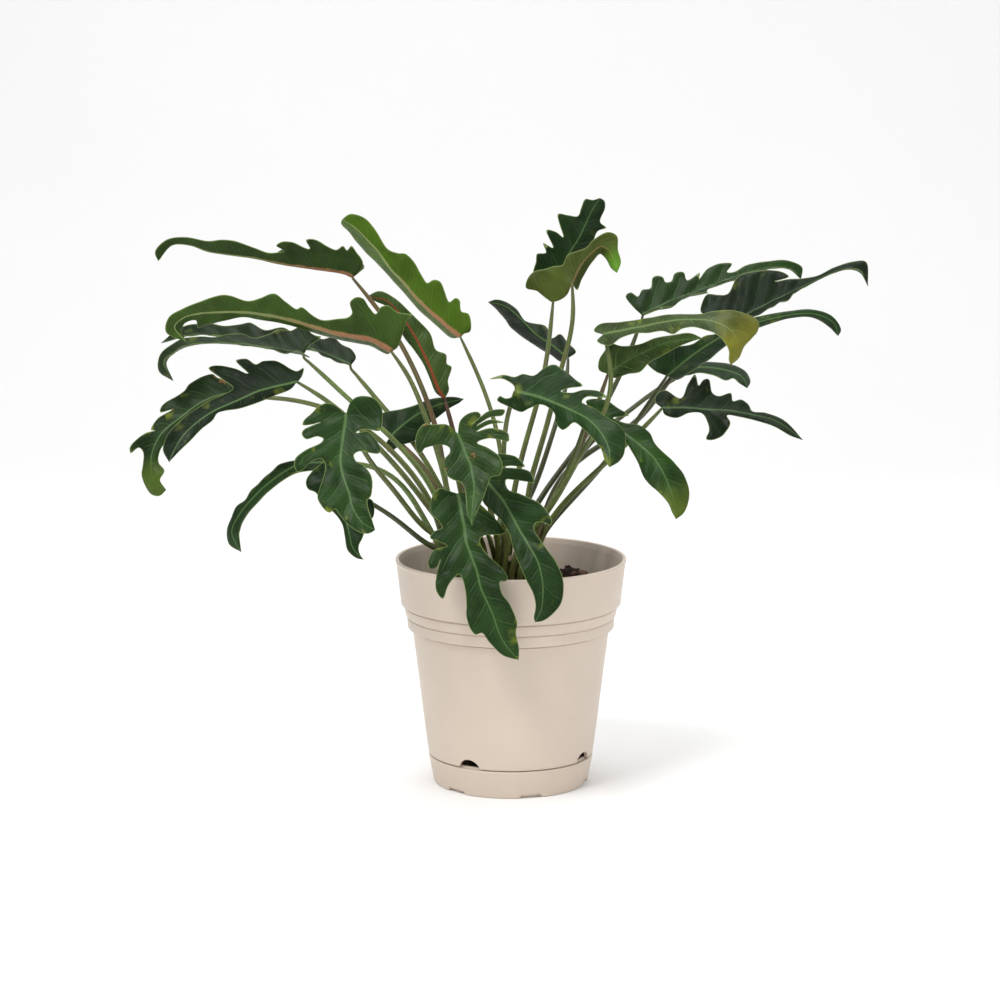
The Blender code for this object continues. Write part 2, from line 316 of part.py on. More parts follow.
def blade_sheet(leaf, grid, edge=None):
    """The blade's middle surface: points, triangles, (s, w) flat coordinates and margin distance."""
    fine = smooth(leaf["m"], 1.5)
    s_f = along(fine)
    total = s_f[-1]
    ydep = np.interp(s_f, [0, total / 2, total], leaf["y"])
    ydep = np.interp(s_f, s_f, ydep)
    # depth follows a smooth quadratic through the three given values
    y0, y1, y2 = leaf["y"]
    q = s_f / total
    ydep = y0 * (1 - q) * (1 - 2 * q) + y1 * 4 * q * (1 - q) + y2 * q * (2 * q - 1)
    m3 = at(fine[:, 0], fine[:, 1], ydep)
    n_mid = max(4, int(round(total / grid)))
    s_m = np.linspace(0, total, n_mid + 1)
    mid_uv = np.stack([np.interp(s_m, s_f, fine[:, 0]), np.interp(s_m, s_f, fine[:, 1])], 1)
    y_m = np.interp(s_m, s_f, ydep)
    P = [at(mid_uv[:, 0], mid_uv[:, 1], y_m)]
    SW = [np.stack([s_m, 0 * s_m], 1)]
    E = [np.full(len(s_m), 1e9)]
    tris = []
    sign0 = None
    lines = {}
    for spec in leaf["h"]:
        if spec[0] == "P":
            o = np.array([leaf["m"][0]] + list(spec[2]) + [leaf["m"][-1]], float)
            o = smooth(o, edge) if edge else o
            lines[id(spec)] = o
    for spec in leaf["h"]:
        if spec[0] == "P":
            o = lines[id(spec)][1:-1]
            so, wo = project(fine, o)
            sg = 1.0 if wo.sum() > 0 else -1.0
            flat = np.stack([o[:, 0], -o[:, 1]], 1)
            mid = np.stack([mid_uv[:, 0], -mid_uv[:, 1]], 1)
        else:
            other = [z for z in leaf["h"] if z is not spec][0]
            o = lines[id(other)][1:-1]
            so, wo = project(fine, o)
            sg = -1.0 if wo.sum() > 0 else 1.0
            so, wo = outline_width(so, np.abs(wo), edge or 6.0)
            so = np.where(so < 0, so * .4, so)
            flat = np.stack([so, sg * wo], 1)
            mid = np.stack([s_m, 0 * s_m], 1)
        ring = np.vstack([mid, flat[::-1]])
        line = np.vstack([mid[:1], flat, mid[-1:]])
        lo, hi = ring.min(0), ring.max(0)
        gx = np.arange(lo[0], hi[0], grid)
        gy = np.arange(lo[1], hi[1], grid * .866)
        pts = np.array([(x + (grid / 2 if j % 2 else 0), y) for j, y in enumerate(gy) for x in gx])
        if len(pts):
            pts = pts[inside(ring, pts)]
        if len(pts):
            closed = np.vstack([ring, ring[:1]])
            pts = pts[edge_gap(closed, pts) > grid * .55]
        allp = np.vstack([ring, pts]) if len(pts) else ring
        n = len(ring)
        vs, _, fs, orig, _, _ = delaunay_2d_cdt([Vector(p) for p in allp], [(i, (i + 1) % n) for i in range(n)], [], 1, 1e-6)
        vs = np.array([(a.x, a.y) for a in vs])
        base = sum(len(a) for a in P)
        ids = np.full(len(vs), -1)
        for i, src in enumerate(orig):
            for j in src:
                if j < len(mid):
                    ids[i] = j
        new = np.where(ids < 0)[0]
        ids[new] = base + np.arange(len(new))
        q = vs[new]
        if spec[0] == "P":
            uv = np.stack([q[:, 0], -q[:, 1]], 1)
            s, w = project(fine, uv)
            yy = np.interp(s, s_f, ydep) + spec[1] * np.abs(w) * UNIT
            P.append(at(uv[:, 0], uv[:, 1], yy))
            SW.append(np.stack([s, sg * np.abs(w)], 1))
        else:
            s, w = q[:, 0], np.abs(q[:, 1]) * spec[2]
            w = w * np.clip((total - s) / (.14 * total), 0, 1)
            d = np.gradient(m3, s_f, axis=0)
            tan = np.stack([np.interp(s, s_f, d[:, i]) for i in range(3)], 1)
            tl = tan / np.linalg.norm(tan, axis=1)[:, None]
            v = np.array(spec[1], float)
            v = v - (tl @ v)[:, None] * tl
            v /= np.linalg.norm(v, axis=1)[:, None]
            pos = np.stack([np.interp(s, s_f, m3[:, i]) for i in range(3)], 1)
            pos += np.minimum(s, 0)[:, None] * d[0] + np.maximum(s - total, 0)[:, None] * d[-1]
            P.append(pos + v * (w * UNIT)[:, None])
            SW.append(np.stack([s, sg * w], 1))
        E.append(edge_gap(line, q))
        E[0] = np.minimum(E[0], edge_gap(line, mid))
        for f in fs:
            a, b, c = (vs[i] for i in f)
            if abs((b[0] - a[0]) * (c[1] - a[1]) - (b[1] - a[1]) * (c[0] - a[0])) < 1e-9:
                continue
            t = [ids[i] for i in f]
            if (b[0] - a[0]) * (c[1] - a[1]) - (b[1] - a[1]) * (c[0] - a[0]) < 0:
                t.reverse()
            tris.append(t)
    P, SW, E = np.vstack(P), np.vstack(SW), np.concatenate(E)
    used = np.unique(np.array(tris))
    back = np.full(len(P), -1)
    back[used] = np.arange(len(used))
    return P[used], back[np.array(tris)], SW[used], E[used]


def normals(P, T):
    n = np.cross(P[T[:, 1]] - P[T[:, 0]], P[T[:, 2]] - P[T[:, 0]])
    out = np.zeros_like(P)
    for i in range(3):
        np.add.at(out, T[:, i], n)
    return out / np.maximum(np.linalg.norm(out, axis=1), 1e-12)[:, None]


def closed_sheet(P, T, half):
    """Both faces of a sheet and the strip round its margin. half: half thickness, per point."""
    n = normals(P, T)
    half = np.broadcast_to(half, (len(P),))[:, None]
    V = np.vstack([P + n * half, P - n * half])
    k = len(P)
    faces = [list(t) for t in T] + [[t[0] + k, t[2] + k, t[1] + k] for t in T]
    edges = {}
    for t in T:
        for a, b in ((t[0], t[1]), (t[1], t[2]), (t[2], t[0])):
            edges[(a, b)] = edges.get((a, b), 0) + 1
    rim = [(a, b) for (a, b) in edges if (b, a) not in edges]
    for a, b in rim:
        faces += [[b, a, a + k], [b, a + k, b + k]]
    return V, faces


def stem_slot(leaf_name):
    """Where a stalk starts: the stalks of one stem stand round it in the order of their bearings."""
    stem = LEAVES[leaf_name]["stem"]
    cx, cy = STEMS[stem]
    group = []
    for name, lf in LEAVES.items():
        if lf["stem"] == stem:
            u, v = lf["m"][0]
            e = at(u, v, lf["y"][0])
            group.append((math.atan2(e[1] - cy, e[0] - cx), name))
    group.sort()
    i = [g[1] for g in group].index(leaf_name)
    a = STEM_TURN[stem] + 2 * math.pi * i / len(group)
    return np.array([cx + STALK_RING * math.cos(a), cy + STALK_RING * math.sin(a), CROWN_Z]), a


def stalk_path(name):
    """The stalk's centre line, from the crown to just under its blade."""
    lf = LEAVES[name]
    p0, a = stem_slot(name)
    u1, v1 = lf["m"][0]
    end = at(u1, v1, lf["y"][0])
    pts = [p0, p0 + np.array([.10 * math.cos(a), .10 * math.sin(a), 1]) * STALK_RISE]
    way = lf["p"]
    chain = np.array([(480.0, 560.0)] + [w[:2] for w in way] + [(u1, v1)])
    q = along(chain) / along(chain)[-1]
    for w, f in zip(way, q[1:-1]):
        y = w[2] if len(w) > 2 else pts[1][1] + (lf["y"][0] - pts[1][1]) * f
        c = at(w[0], w[1], y)
        if c[2] > pts[1][2] + .008:
            pts.append(c)
    back = lf.get("e", 1 if lf["top"] else -1)   # it joins the blade's underside
    low = -.0008 if back else -STALK_END_GAP
    pts.append(end + np.array([0, back * STALK_END_GAP, low]))
    return smooth(pts, STALK_STEP)


def stalk_paths(rounds=60):
    """All stalks' centre lines. Each leans clear of the other stalks and of the blades it passes."""
    names = list(LEAVES)
    paths = [stalk_path(n) for n in names]
    radii = [stalk_radii(p) for p in paths]
    X, R = np.vstack(paths), np.concatenate(radii)
    own = np.concatenate([[i] * len(p) for i, p in enumerate(paths)])
    first = np.concatenate([[0], np.cumsum([len(p) for p in paths])])
    held = np.zeros(len(X), bool)
    tail = np.zeros(len(X), bool)
    for i, p in enumerate(paths):
        held[first[i]:first[i] + 3] = True
        held[first[i + 1] - 1] = True
        tail[first[i + 1] - 4:first[i + 1]] = True
    B, bo = [], []
    for i, n in enumerate(names):
        P, T, _, _ = blade_sheet(LEAVES[n], 7.0, 5.0)
        c = P[T].mean(1)
        B += [P, c]
        bo += [i] * (len(P) + len(c))
    B, bo = np.vstack(B), np.array(bo)
    blades = KDTree(len(B))
    for i, c in enumerate(B):
        blades.insert(c, i)
    blades.balance()
    reach = R.max()
    for k in range(rounds):
        move = np.zeros_like(X)
        others = KDTree(len(X))
        for i, c in enumerate(X):
            others.insert(c, i)
        others.balance()
        for i, c in enumerate(X):
            if held[i]:
                continue
            for tree, limit, part in ((others, R[i] + reach + STALK_CLEAR, .5), (blades, R[i] + BLADE_CLEAR, .8)):
                total, hits = np.zeros(3), 0
                for co, j, dist in tree.find_range(c, limit):
                    if tree is others:
                        need = R[i] + R[j] + STALK_CLEAR
                        if own[j] == own[i] or dist >= need:
                            continue
                    else:
                        need = limit
                        if bo[j] == own[i] and tail[i]:
                            continue
                    total += (c - np.array(co)) / max(dist, 1e-9) * (need - dist) * part
                    hits += 1
                if hits:
                    move[i] += total / hits
        move[held] = 0
        X = X + move
        soft = X.copy()
        for i in range(len(paths)):
            a, b = first[i], first[i + 1]
            soft[a + 1:b - 1] = X[a + 1:b - 1] * .7 + (X[a:b - 2] + X[a + 2:b]) * .15
        if k < rounds - 6:
            X = np.where(held[:, None], X, soft)
    return {n: X[first[i]:first[i + 1]] for i, n in enumerate(names)}


def tube(path, radii, sides):
    """A closed tube with flat ends along a path."""
    path = np.asarray(path)
    n = len(path)
    tan = np.gradient(path, axis=0)
    tan /= np.linalg.norm(tan, axis=1)[:, None]
    x = np.cross(tan[0], (0, 1, 0.01))
    x /= np.linalg.norm(x)
    V, F = [], []
    for i in range(n):
        x = x - tan[i] * (x @ tan[i])
        x /= np.linalg.norm(x)
        y = np.cross(tan[i], x)
        for j in range(sides):
            b = 2 * math.pi * j / sides
            V.append(path[i] + radii[i] * (x * math.cos(b) + y * math.sin(b)))
    for i in range(n - 1):
        for j in range(sides):
            a, b = i * sides + j, i * sides + (j + 1) % sides
            F.append([a, b, b + sides, a + sides])
    F.append([j for j in range(sides)][::-1])
    F.append([(n - 1) * sides + j for j in range(sides)])
    return np.array(V), F


def stalk_radii(path):
    q = along(path)
    q = q / q[-1]
    return np.interp(q, [0, .12, .4, 1], [STALK_R0, STALK_R0 * .92, STALK_R0 * .74, STALK_R1])


# ---- pot, saucer, soil, stems ------------------------------------------------------------------
POT_OUT = [(.0716, SEAM_Z + GAP), (.0722, .0275), (.0732, .037), (.0856, .1362), (.0894, .1374), (.0899, .1462),
           (.0914, .1474), (.0928, .1560), (.0950, .1575), (.0992, .1945), (.1000, .1962), (.0996, .1978), (.0984, RIM_Z),
           (.0968, .1972)]
POT_IN = [(.0962, .1930), (.0925, .1600), (.0888, .1500), (.0868, .1400), (.0832, .1350), (.0709, POT_FLOOR_Z)]
POT_UNDER = [(0, POT_FLOOR_Z), (0, POT_FLOOR_Z - FLOOR_T), (.0690, POT_FLOOR_Z - FLOOR_T), (.0688, SEAM_Z + GAP)]
SAUCER = [(0, 0), (.0620, 0), (BASE_R, 0), (.0673, .0012), (.0716, SEAM_Z - .0008), (.0710, SEAM_Z), (.0684, SEAM_Z),
          (.0683, .0265), (.0655, .0265), (.0628, .0060), (.0600, .0036), (0, .0030)]


def collect(name, verts, faces, colour, rough=.5, smooth_it=True, metal=0.0):
    me = bpy.data.meshes.new(name)
    me.from_pydata([tuple(map(float, v)) for v in verts], [], [[int(i) for i in f] for f in faces])
    me.validate(clean_customdata=False)
    me.update()
    if smooth_it:
        me.shade_smooth()
    ob = bpy.data.objects.new(name, me)
    bpy.context.scene.collection.objects.link(ob)
    paint(ob, colour, rough, metal)
    return ob


def paint(ob, colour, rough, metal=0.0):
    mat = bpy.data.materials.new(ob.name + "_mat")
    mat.use_nodes = True
    b = mat.node_tree.nodes["Principled BSDF"]
    b.inputs["Base Color"].default_value = (*colour, 1)
    b.inputs["Roughness"].default_value = rough
    b.inputs["Metallic"].default_value = metal
    ob.data.materials.clear()
    ob.data.materials.append(mat)


def lathe(profile, seg):
    """A closed profile turned about Z; profile points at radius 0 become poles."""
    V, rows = [], []
    for r, z in profile:
        if r < 1e-9:
            rows.append([len(V)] * seg)
            V.append((0, 0, z))
        else:
            rows.append([len(V) + j for j in range(seg)])
            V += [(r * math.cos(2 * math.pi * j / seg), r * math.sin(2 * math.pi * j / seg), z) for j in range(seg)]
    F = []
    for i in range(len(profile)):
        a, b = rows[i], rows[(i + 1) % len(profile)]
        for j in range(seg):
            k = (j + 1) % seg
            f = []
            for q in (a[j], a[k], b[k], b[j]):
                if q not in f:
                    f.append(q)
            if len(f) > 2:
                F.append(f)
    return V, F


def rounded_cutter(width, height, r0, r1, z0, angle):
    """A half-round bar lying along a radius."""
    prof = [(-width / 2, -.004), (width / 2, -.004)]
    prof += [(width / 2 * math.cos(math.pi * i / 8), height * math.sin(math.pi * i / 8)) for i in range(9)]
    n = len(prof)
    c, s = math.cos(angle), math.sin(angle)
    V = [(r * c - t * s, r * s + t * c, z0 + h) for r in (r0, r1) for t, h in prof]
    F = [[i, (i + 1) % n, n + (i + 1) % n, n + i] for i in range(n)]
    F += [list(range(n))[::-1], list(range(n, 2 * n))]
    return V, F


def cut(ob, cutters):
    V, F = [], []
    for v, f in cutters:
        F += [[i + len(V) for i in g] for g in f]
        V += v
    tool = collect(ob.name + "_tool", V, F, (.5, .5, .5), smooth_it=False)
    bm = bmesh.new()
    bm.from_mesh(tool.data)
    bmesh.ops.recalc_face_normals(bm, faces=bm.faces)
    bm.to_mesh(tool.data)
    bm.free()
    mod = ob.modifiers.new("cut", "BOOLEAN")
    mod.operation = "DIFFERENCE"
    mod.solver = "EXACT"
    mod.object = tool
    dg = bpy.context.evaluated_depsgraph_get()
    new = bpy.data.meshes.new_from_object(ob.evaluated_get(dg))
    ob.modifiers.clear()
    ob.data = new
    bpy.data.objects.remove(tool, do_unlink=True)


def fix_normals(ob):
    bm = bmesh.new()
    bm.from_mesh(ob.data)
    bmesh.ops.recalc_face_normals(bm, faces=bm.faces)
    bm.to_mesh(ob.data)
    bm.free()


def soil_height(x, y):
    """The soil's surface: a low lumpy mound, level round the stems."""
    r = math.hypot(x, y)
    h = SOIL_Z - .0035 * (r / .09) ** 2 + .0030 * noise.noise(Vector((x * 60, y * 60, 3.1))) + .0018 * noise.noise(Vector((x * 150, y * 150, 7.7)))
    near = min(math.hypot(x - c[0], y - c[1]) for c in STEMS.values())
    h += .0125 * math.exp(-((x - .053) ** 2 + (y - .028) ** 2) / .00030) * (1 + .35 * noise.noise(Vector((x * 120, y * 120, 2.0))))
    k = min(1, max(0, (near - .0205) / .012))
    return SOIL_Z + (h - SOIL_Z) * k


def pot():
    V, F = lathe(POT_OUT + POT_IN + POT_UNDER, 56)
    ob = collect("pot", V, F, (.68, .58, .50), .42)
    cutters = [rounded_cutter(NOTCH_W, NOTCH_H, .060, .085, SEAM_Z + GAP, NOTCH_TURN + 2 * math.pi * i / NOTCHES) for i in range(NOTCHES)]
    for i in range(5):
        a = 2 * math.pi * i / 4
        cx, cy = (0, 0) if i == 4 else (.038 * math.cos(a), .038 * math.sin(a))
        v = [(cx + DRAIN_R * math.cos(2 * math.pi * j / 12), cy + DRAIN_R * math.sin(2 * math.pi * j / 12), z) for z in (.030, .050) for j in range(12)]
        f = [[j, (j + 1) % 12, 12 + (j + 1) % 12, 12 + j] for j in range(12)] + [list(range(12))[::-1], list(range(12, 24))]
        cutters.append((v, f))
    cut(ob, cutters)
    fix_normals(ob)


def saucer():
    V, F = lathe(SAUCER, 60)
    out = []
    for x, y, z in V:        # shallow notches under the edge
        if math.hypot(x, y) > .064 and z < .002:
            a = (math.atan2(y, x) - FEET_TURN) % (2 * math.pi / FEET_NOTCHES)
            if min(a, 2 * math.pi / FEET_NOTCHES - a) < math.radians(4):
                z = .0030
        out.append((x, y, z))
    ob = collect("saucer", out, F, (.66, .57, .49), .45)
    fix_normals(ob)


def soil():
    seg, rings = 32, 8
    top_r = .0929
    V, F = [(0, 0, soil_height(0, 0))], []
    for i in range(1, rings + 1):
        r = top_r * i / rings
        for j in range(seg):
            a = 2 * math.pi * (j + .5 * (i % 2)) / seg
            x, y = r * math.cos(a), r * math.sin(a)
            V.append((x, y, soil_height(x, y) if i < rings else SOIL_Z - .0035))
    side = [(.0917, .1600), (.0880, .1500), (.0860, .1400), (.0824, .1350), (.0700, POT_FLOOR_Z + GAP)]
    for r, z in side:
        for j in range(seg):
            a = 2 * math.pi * (j + .5 * (rings % 2)) / seg
            V.append((r * math.cos(a), r * math.sin(a), z))
    V.append((0, 0, POT_FLOOR_Z + GAP))
    ring = lambda i: [1 + (i - 1) * seg + j for j in range(seg)]
    a = ring(1)
    F += [[0, a[j], a[(j + 1) % seg]] for j in range(seg)]
    for i in range(1, rings + len(side)):
        a, b = ring(i), ring(i + 1)
        shift = 0
        if i < rings and i % 2:
            shift = 1
        for j in range(seg):
            k = (j + 1) % seg
            if i >= rings:
                F.append([a[j], b[j], b[k], a[k]])
            elif i % 2:      # this ring is turned half a step forwards
                F += [[a[j], b[k], a[k]], [a[j], b[j], b[k]]]
            else:
                F += [[a[j], b[j], a[k]], [a[k], b[j], b[k]]]
    b = ring(rings + len(side))
    F += [[len(V) - 1, b[(j + 1) % seg], b[j]] for j in range(seg)]
    ob = collect("soil", V, F, (.035, .020, .014), .95)
    fix_normals(ob)


def stems():
    for k, (cx, cy) in STEMS.items():
        seg = 14
        prof = [(0, 0), (.92, 0), (1.0, .12), (.97, .4), (1.0, .62), (.9, .82), (.55, .97), (0, 1.0)]
        V, F = lathe([(r * STEM_R, CROWN_Z - .0012 + z * STEM_H) for r, z in prof], seg)
        out = []
        for x, y, z in V:
            a = math.atan2(y, x)
            g = 1 - .07 * (1 + math.sin(5 * a + z * 300)) / 2
            out.append((cx + x * g, cy + y * g, z))
        ob = collect("stem_%d" % k, out, F, (.16, .14, .07), .7)
        fix_normals(ob)


def leaves():
    paths = stalk_paths()
    for name, leaf in LEAVES.items():
        P, T, _, _ = blade_sheet(leaf, BLADE_GRID)
        V, F = closed_sheet(P, T, BLADE_T / 2)
        colour = (.035, .12, .045) if leaf["top"] else (.07, .17, .04)
        collect("leaf_" + name, V, F, colour, .45)
        path = paths[name]
        radii = stalk_radii(path)
        n = max(6, int(round(along(path)[-1] / .014)))
        pick = np.unique(np.round(np.linspace(0, len(path) - 1, n)).astype(int))
        V, F = tube(path[pick], radii[pick], 6)
        ob = collect("stalk_" + name, V, F, (.12, .15, .05), .5)
        fix_normals(ob)


pot()
saucer()
soil()
stems()
leaves()
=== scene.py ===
"""Looks of the potted philodendron: detailed blades, stalks, stems, soil, pot and saucer."""
import bpy
import bmesh
import math
import random
import numpy as np
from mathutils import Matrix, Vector, noise
from mathutils.kdtree import KDTree
from mathutils.geometry import delaunay_2d_cdt


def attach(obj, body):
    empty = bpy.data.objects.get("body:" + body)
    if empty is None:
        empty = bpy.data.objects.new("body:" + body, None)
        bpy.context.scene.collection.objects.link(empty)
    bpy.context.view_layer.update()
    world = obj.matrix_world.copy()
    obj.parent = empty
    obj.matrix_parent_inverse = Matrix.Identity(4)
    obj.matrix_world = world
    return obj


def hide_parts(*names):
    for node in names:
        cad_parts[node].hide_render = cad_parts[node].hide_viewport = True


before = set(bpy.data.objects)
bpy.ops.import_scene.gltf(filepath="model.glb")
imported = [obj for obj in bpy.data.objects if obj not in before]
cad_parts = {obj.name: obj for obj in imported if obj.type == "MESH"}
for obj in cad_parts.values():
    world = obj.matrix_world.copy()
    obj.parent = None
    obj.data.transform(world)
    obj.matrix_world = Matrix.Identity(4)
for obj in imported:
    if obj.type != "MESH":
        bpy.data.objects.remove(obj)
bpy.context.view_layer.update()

R = random.Random(7)

# ---- the part's dimensions, metres ----------------------------------------------------------------
RIM_Z = 0.198
SEAM_Z = 0.0247
BASE_R = 0.0665
POT_FLOOR_Z = 0.040
FLOOR_T = 0.003
GAP = 0.0003
SOIL_Z = 0.172
CROWN_Z = SOIL_Z + 0.0018
STEMS = {1: (-0.038, -0.006), 2: (0.004, 0.006)}
STEM_R = 0.0105
STEM_H = 0.026
STEM_TURN = {1: -3.05, 2: -3.0}
STALK_RING = 0.0152
STALK_RISE = 0.026
STALK_R0 = 0.0028
STALK_R1 = 0.0017
STALK_END_GAP = 0.0034
STALK_STEP = 0.005
STALK_CLEAR = 0.0016
BLADE_CLEAR = 0.0022
NOTCHES = 4
NOTCH_TURN = math.radians(-120.0)
NOTCH_W, NOTCH_H = 0.020, 0.0085
FEET_NOTCHES = 6
FEET_TURN = math.radians(-75.0)
FINE = 2.4                # spacing inside a blade, in units of UNIT

# ---- measuring view: outline points are (u, v) read in a 1000 x 1000 frame seen from EYE ----
EYE = (-0.0094, -2.6, 0.713)        # metres
PITCH = math.radians(10.14)         # looking slightly down
FOCAL = 3061.0                      # frame units
UNIT = 0.000866                     # one frame unit at the pot's axis, metres


def at(u, v, y):
    """World points on the sight lines through (u, v) at depth y (arrays allowed)."""
    u, v, y = np.asarray(u, float), np.asarray(v, float), np.asarray(y, float)
    a, b = (u - 500.0) / FOCAL, -(v - 500.0) / FOCAL
    dy = math.cos(PITCH) + b * math.sin(PITCH)
    dz = -math.sin(PITCH) + b * math.cos(PITCH)
    t = (y - EYE[1]) / dy
    return np.stack([EYE[0] + t * a, y + 0 * t, EYE[2] + t * dz], -1)


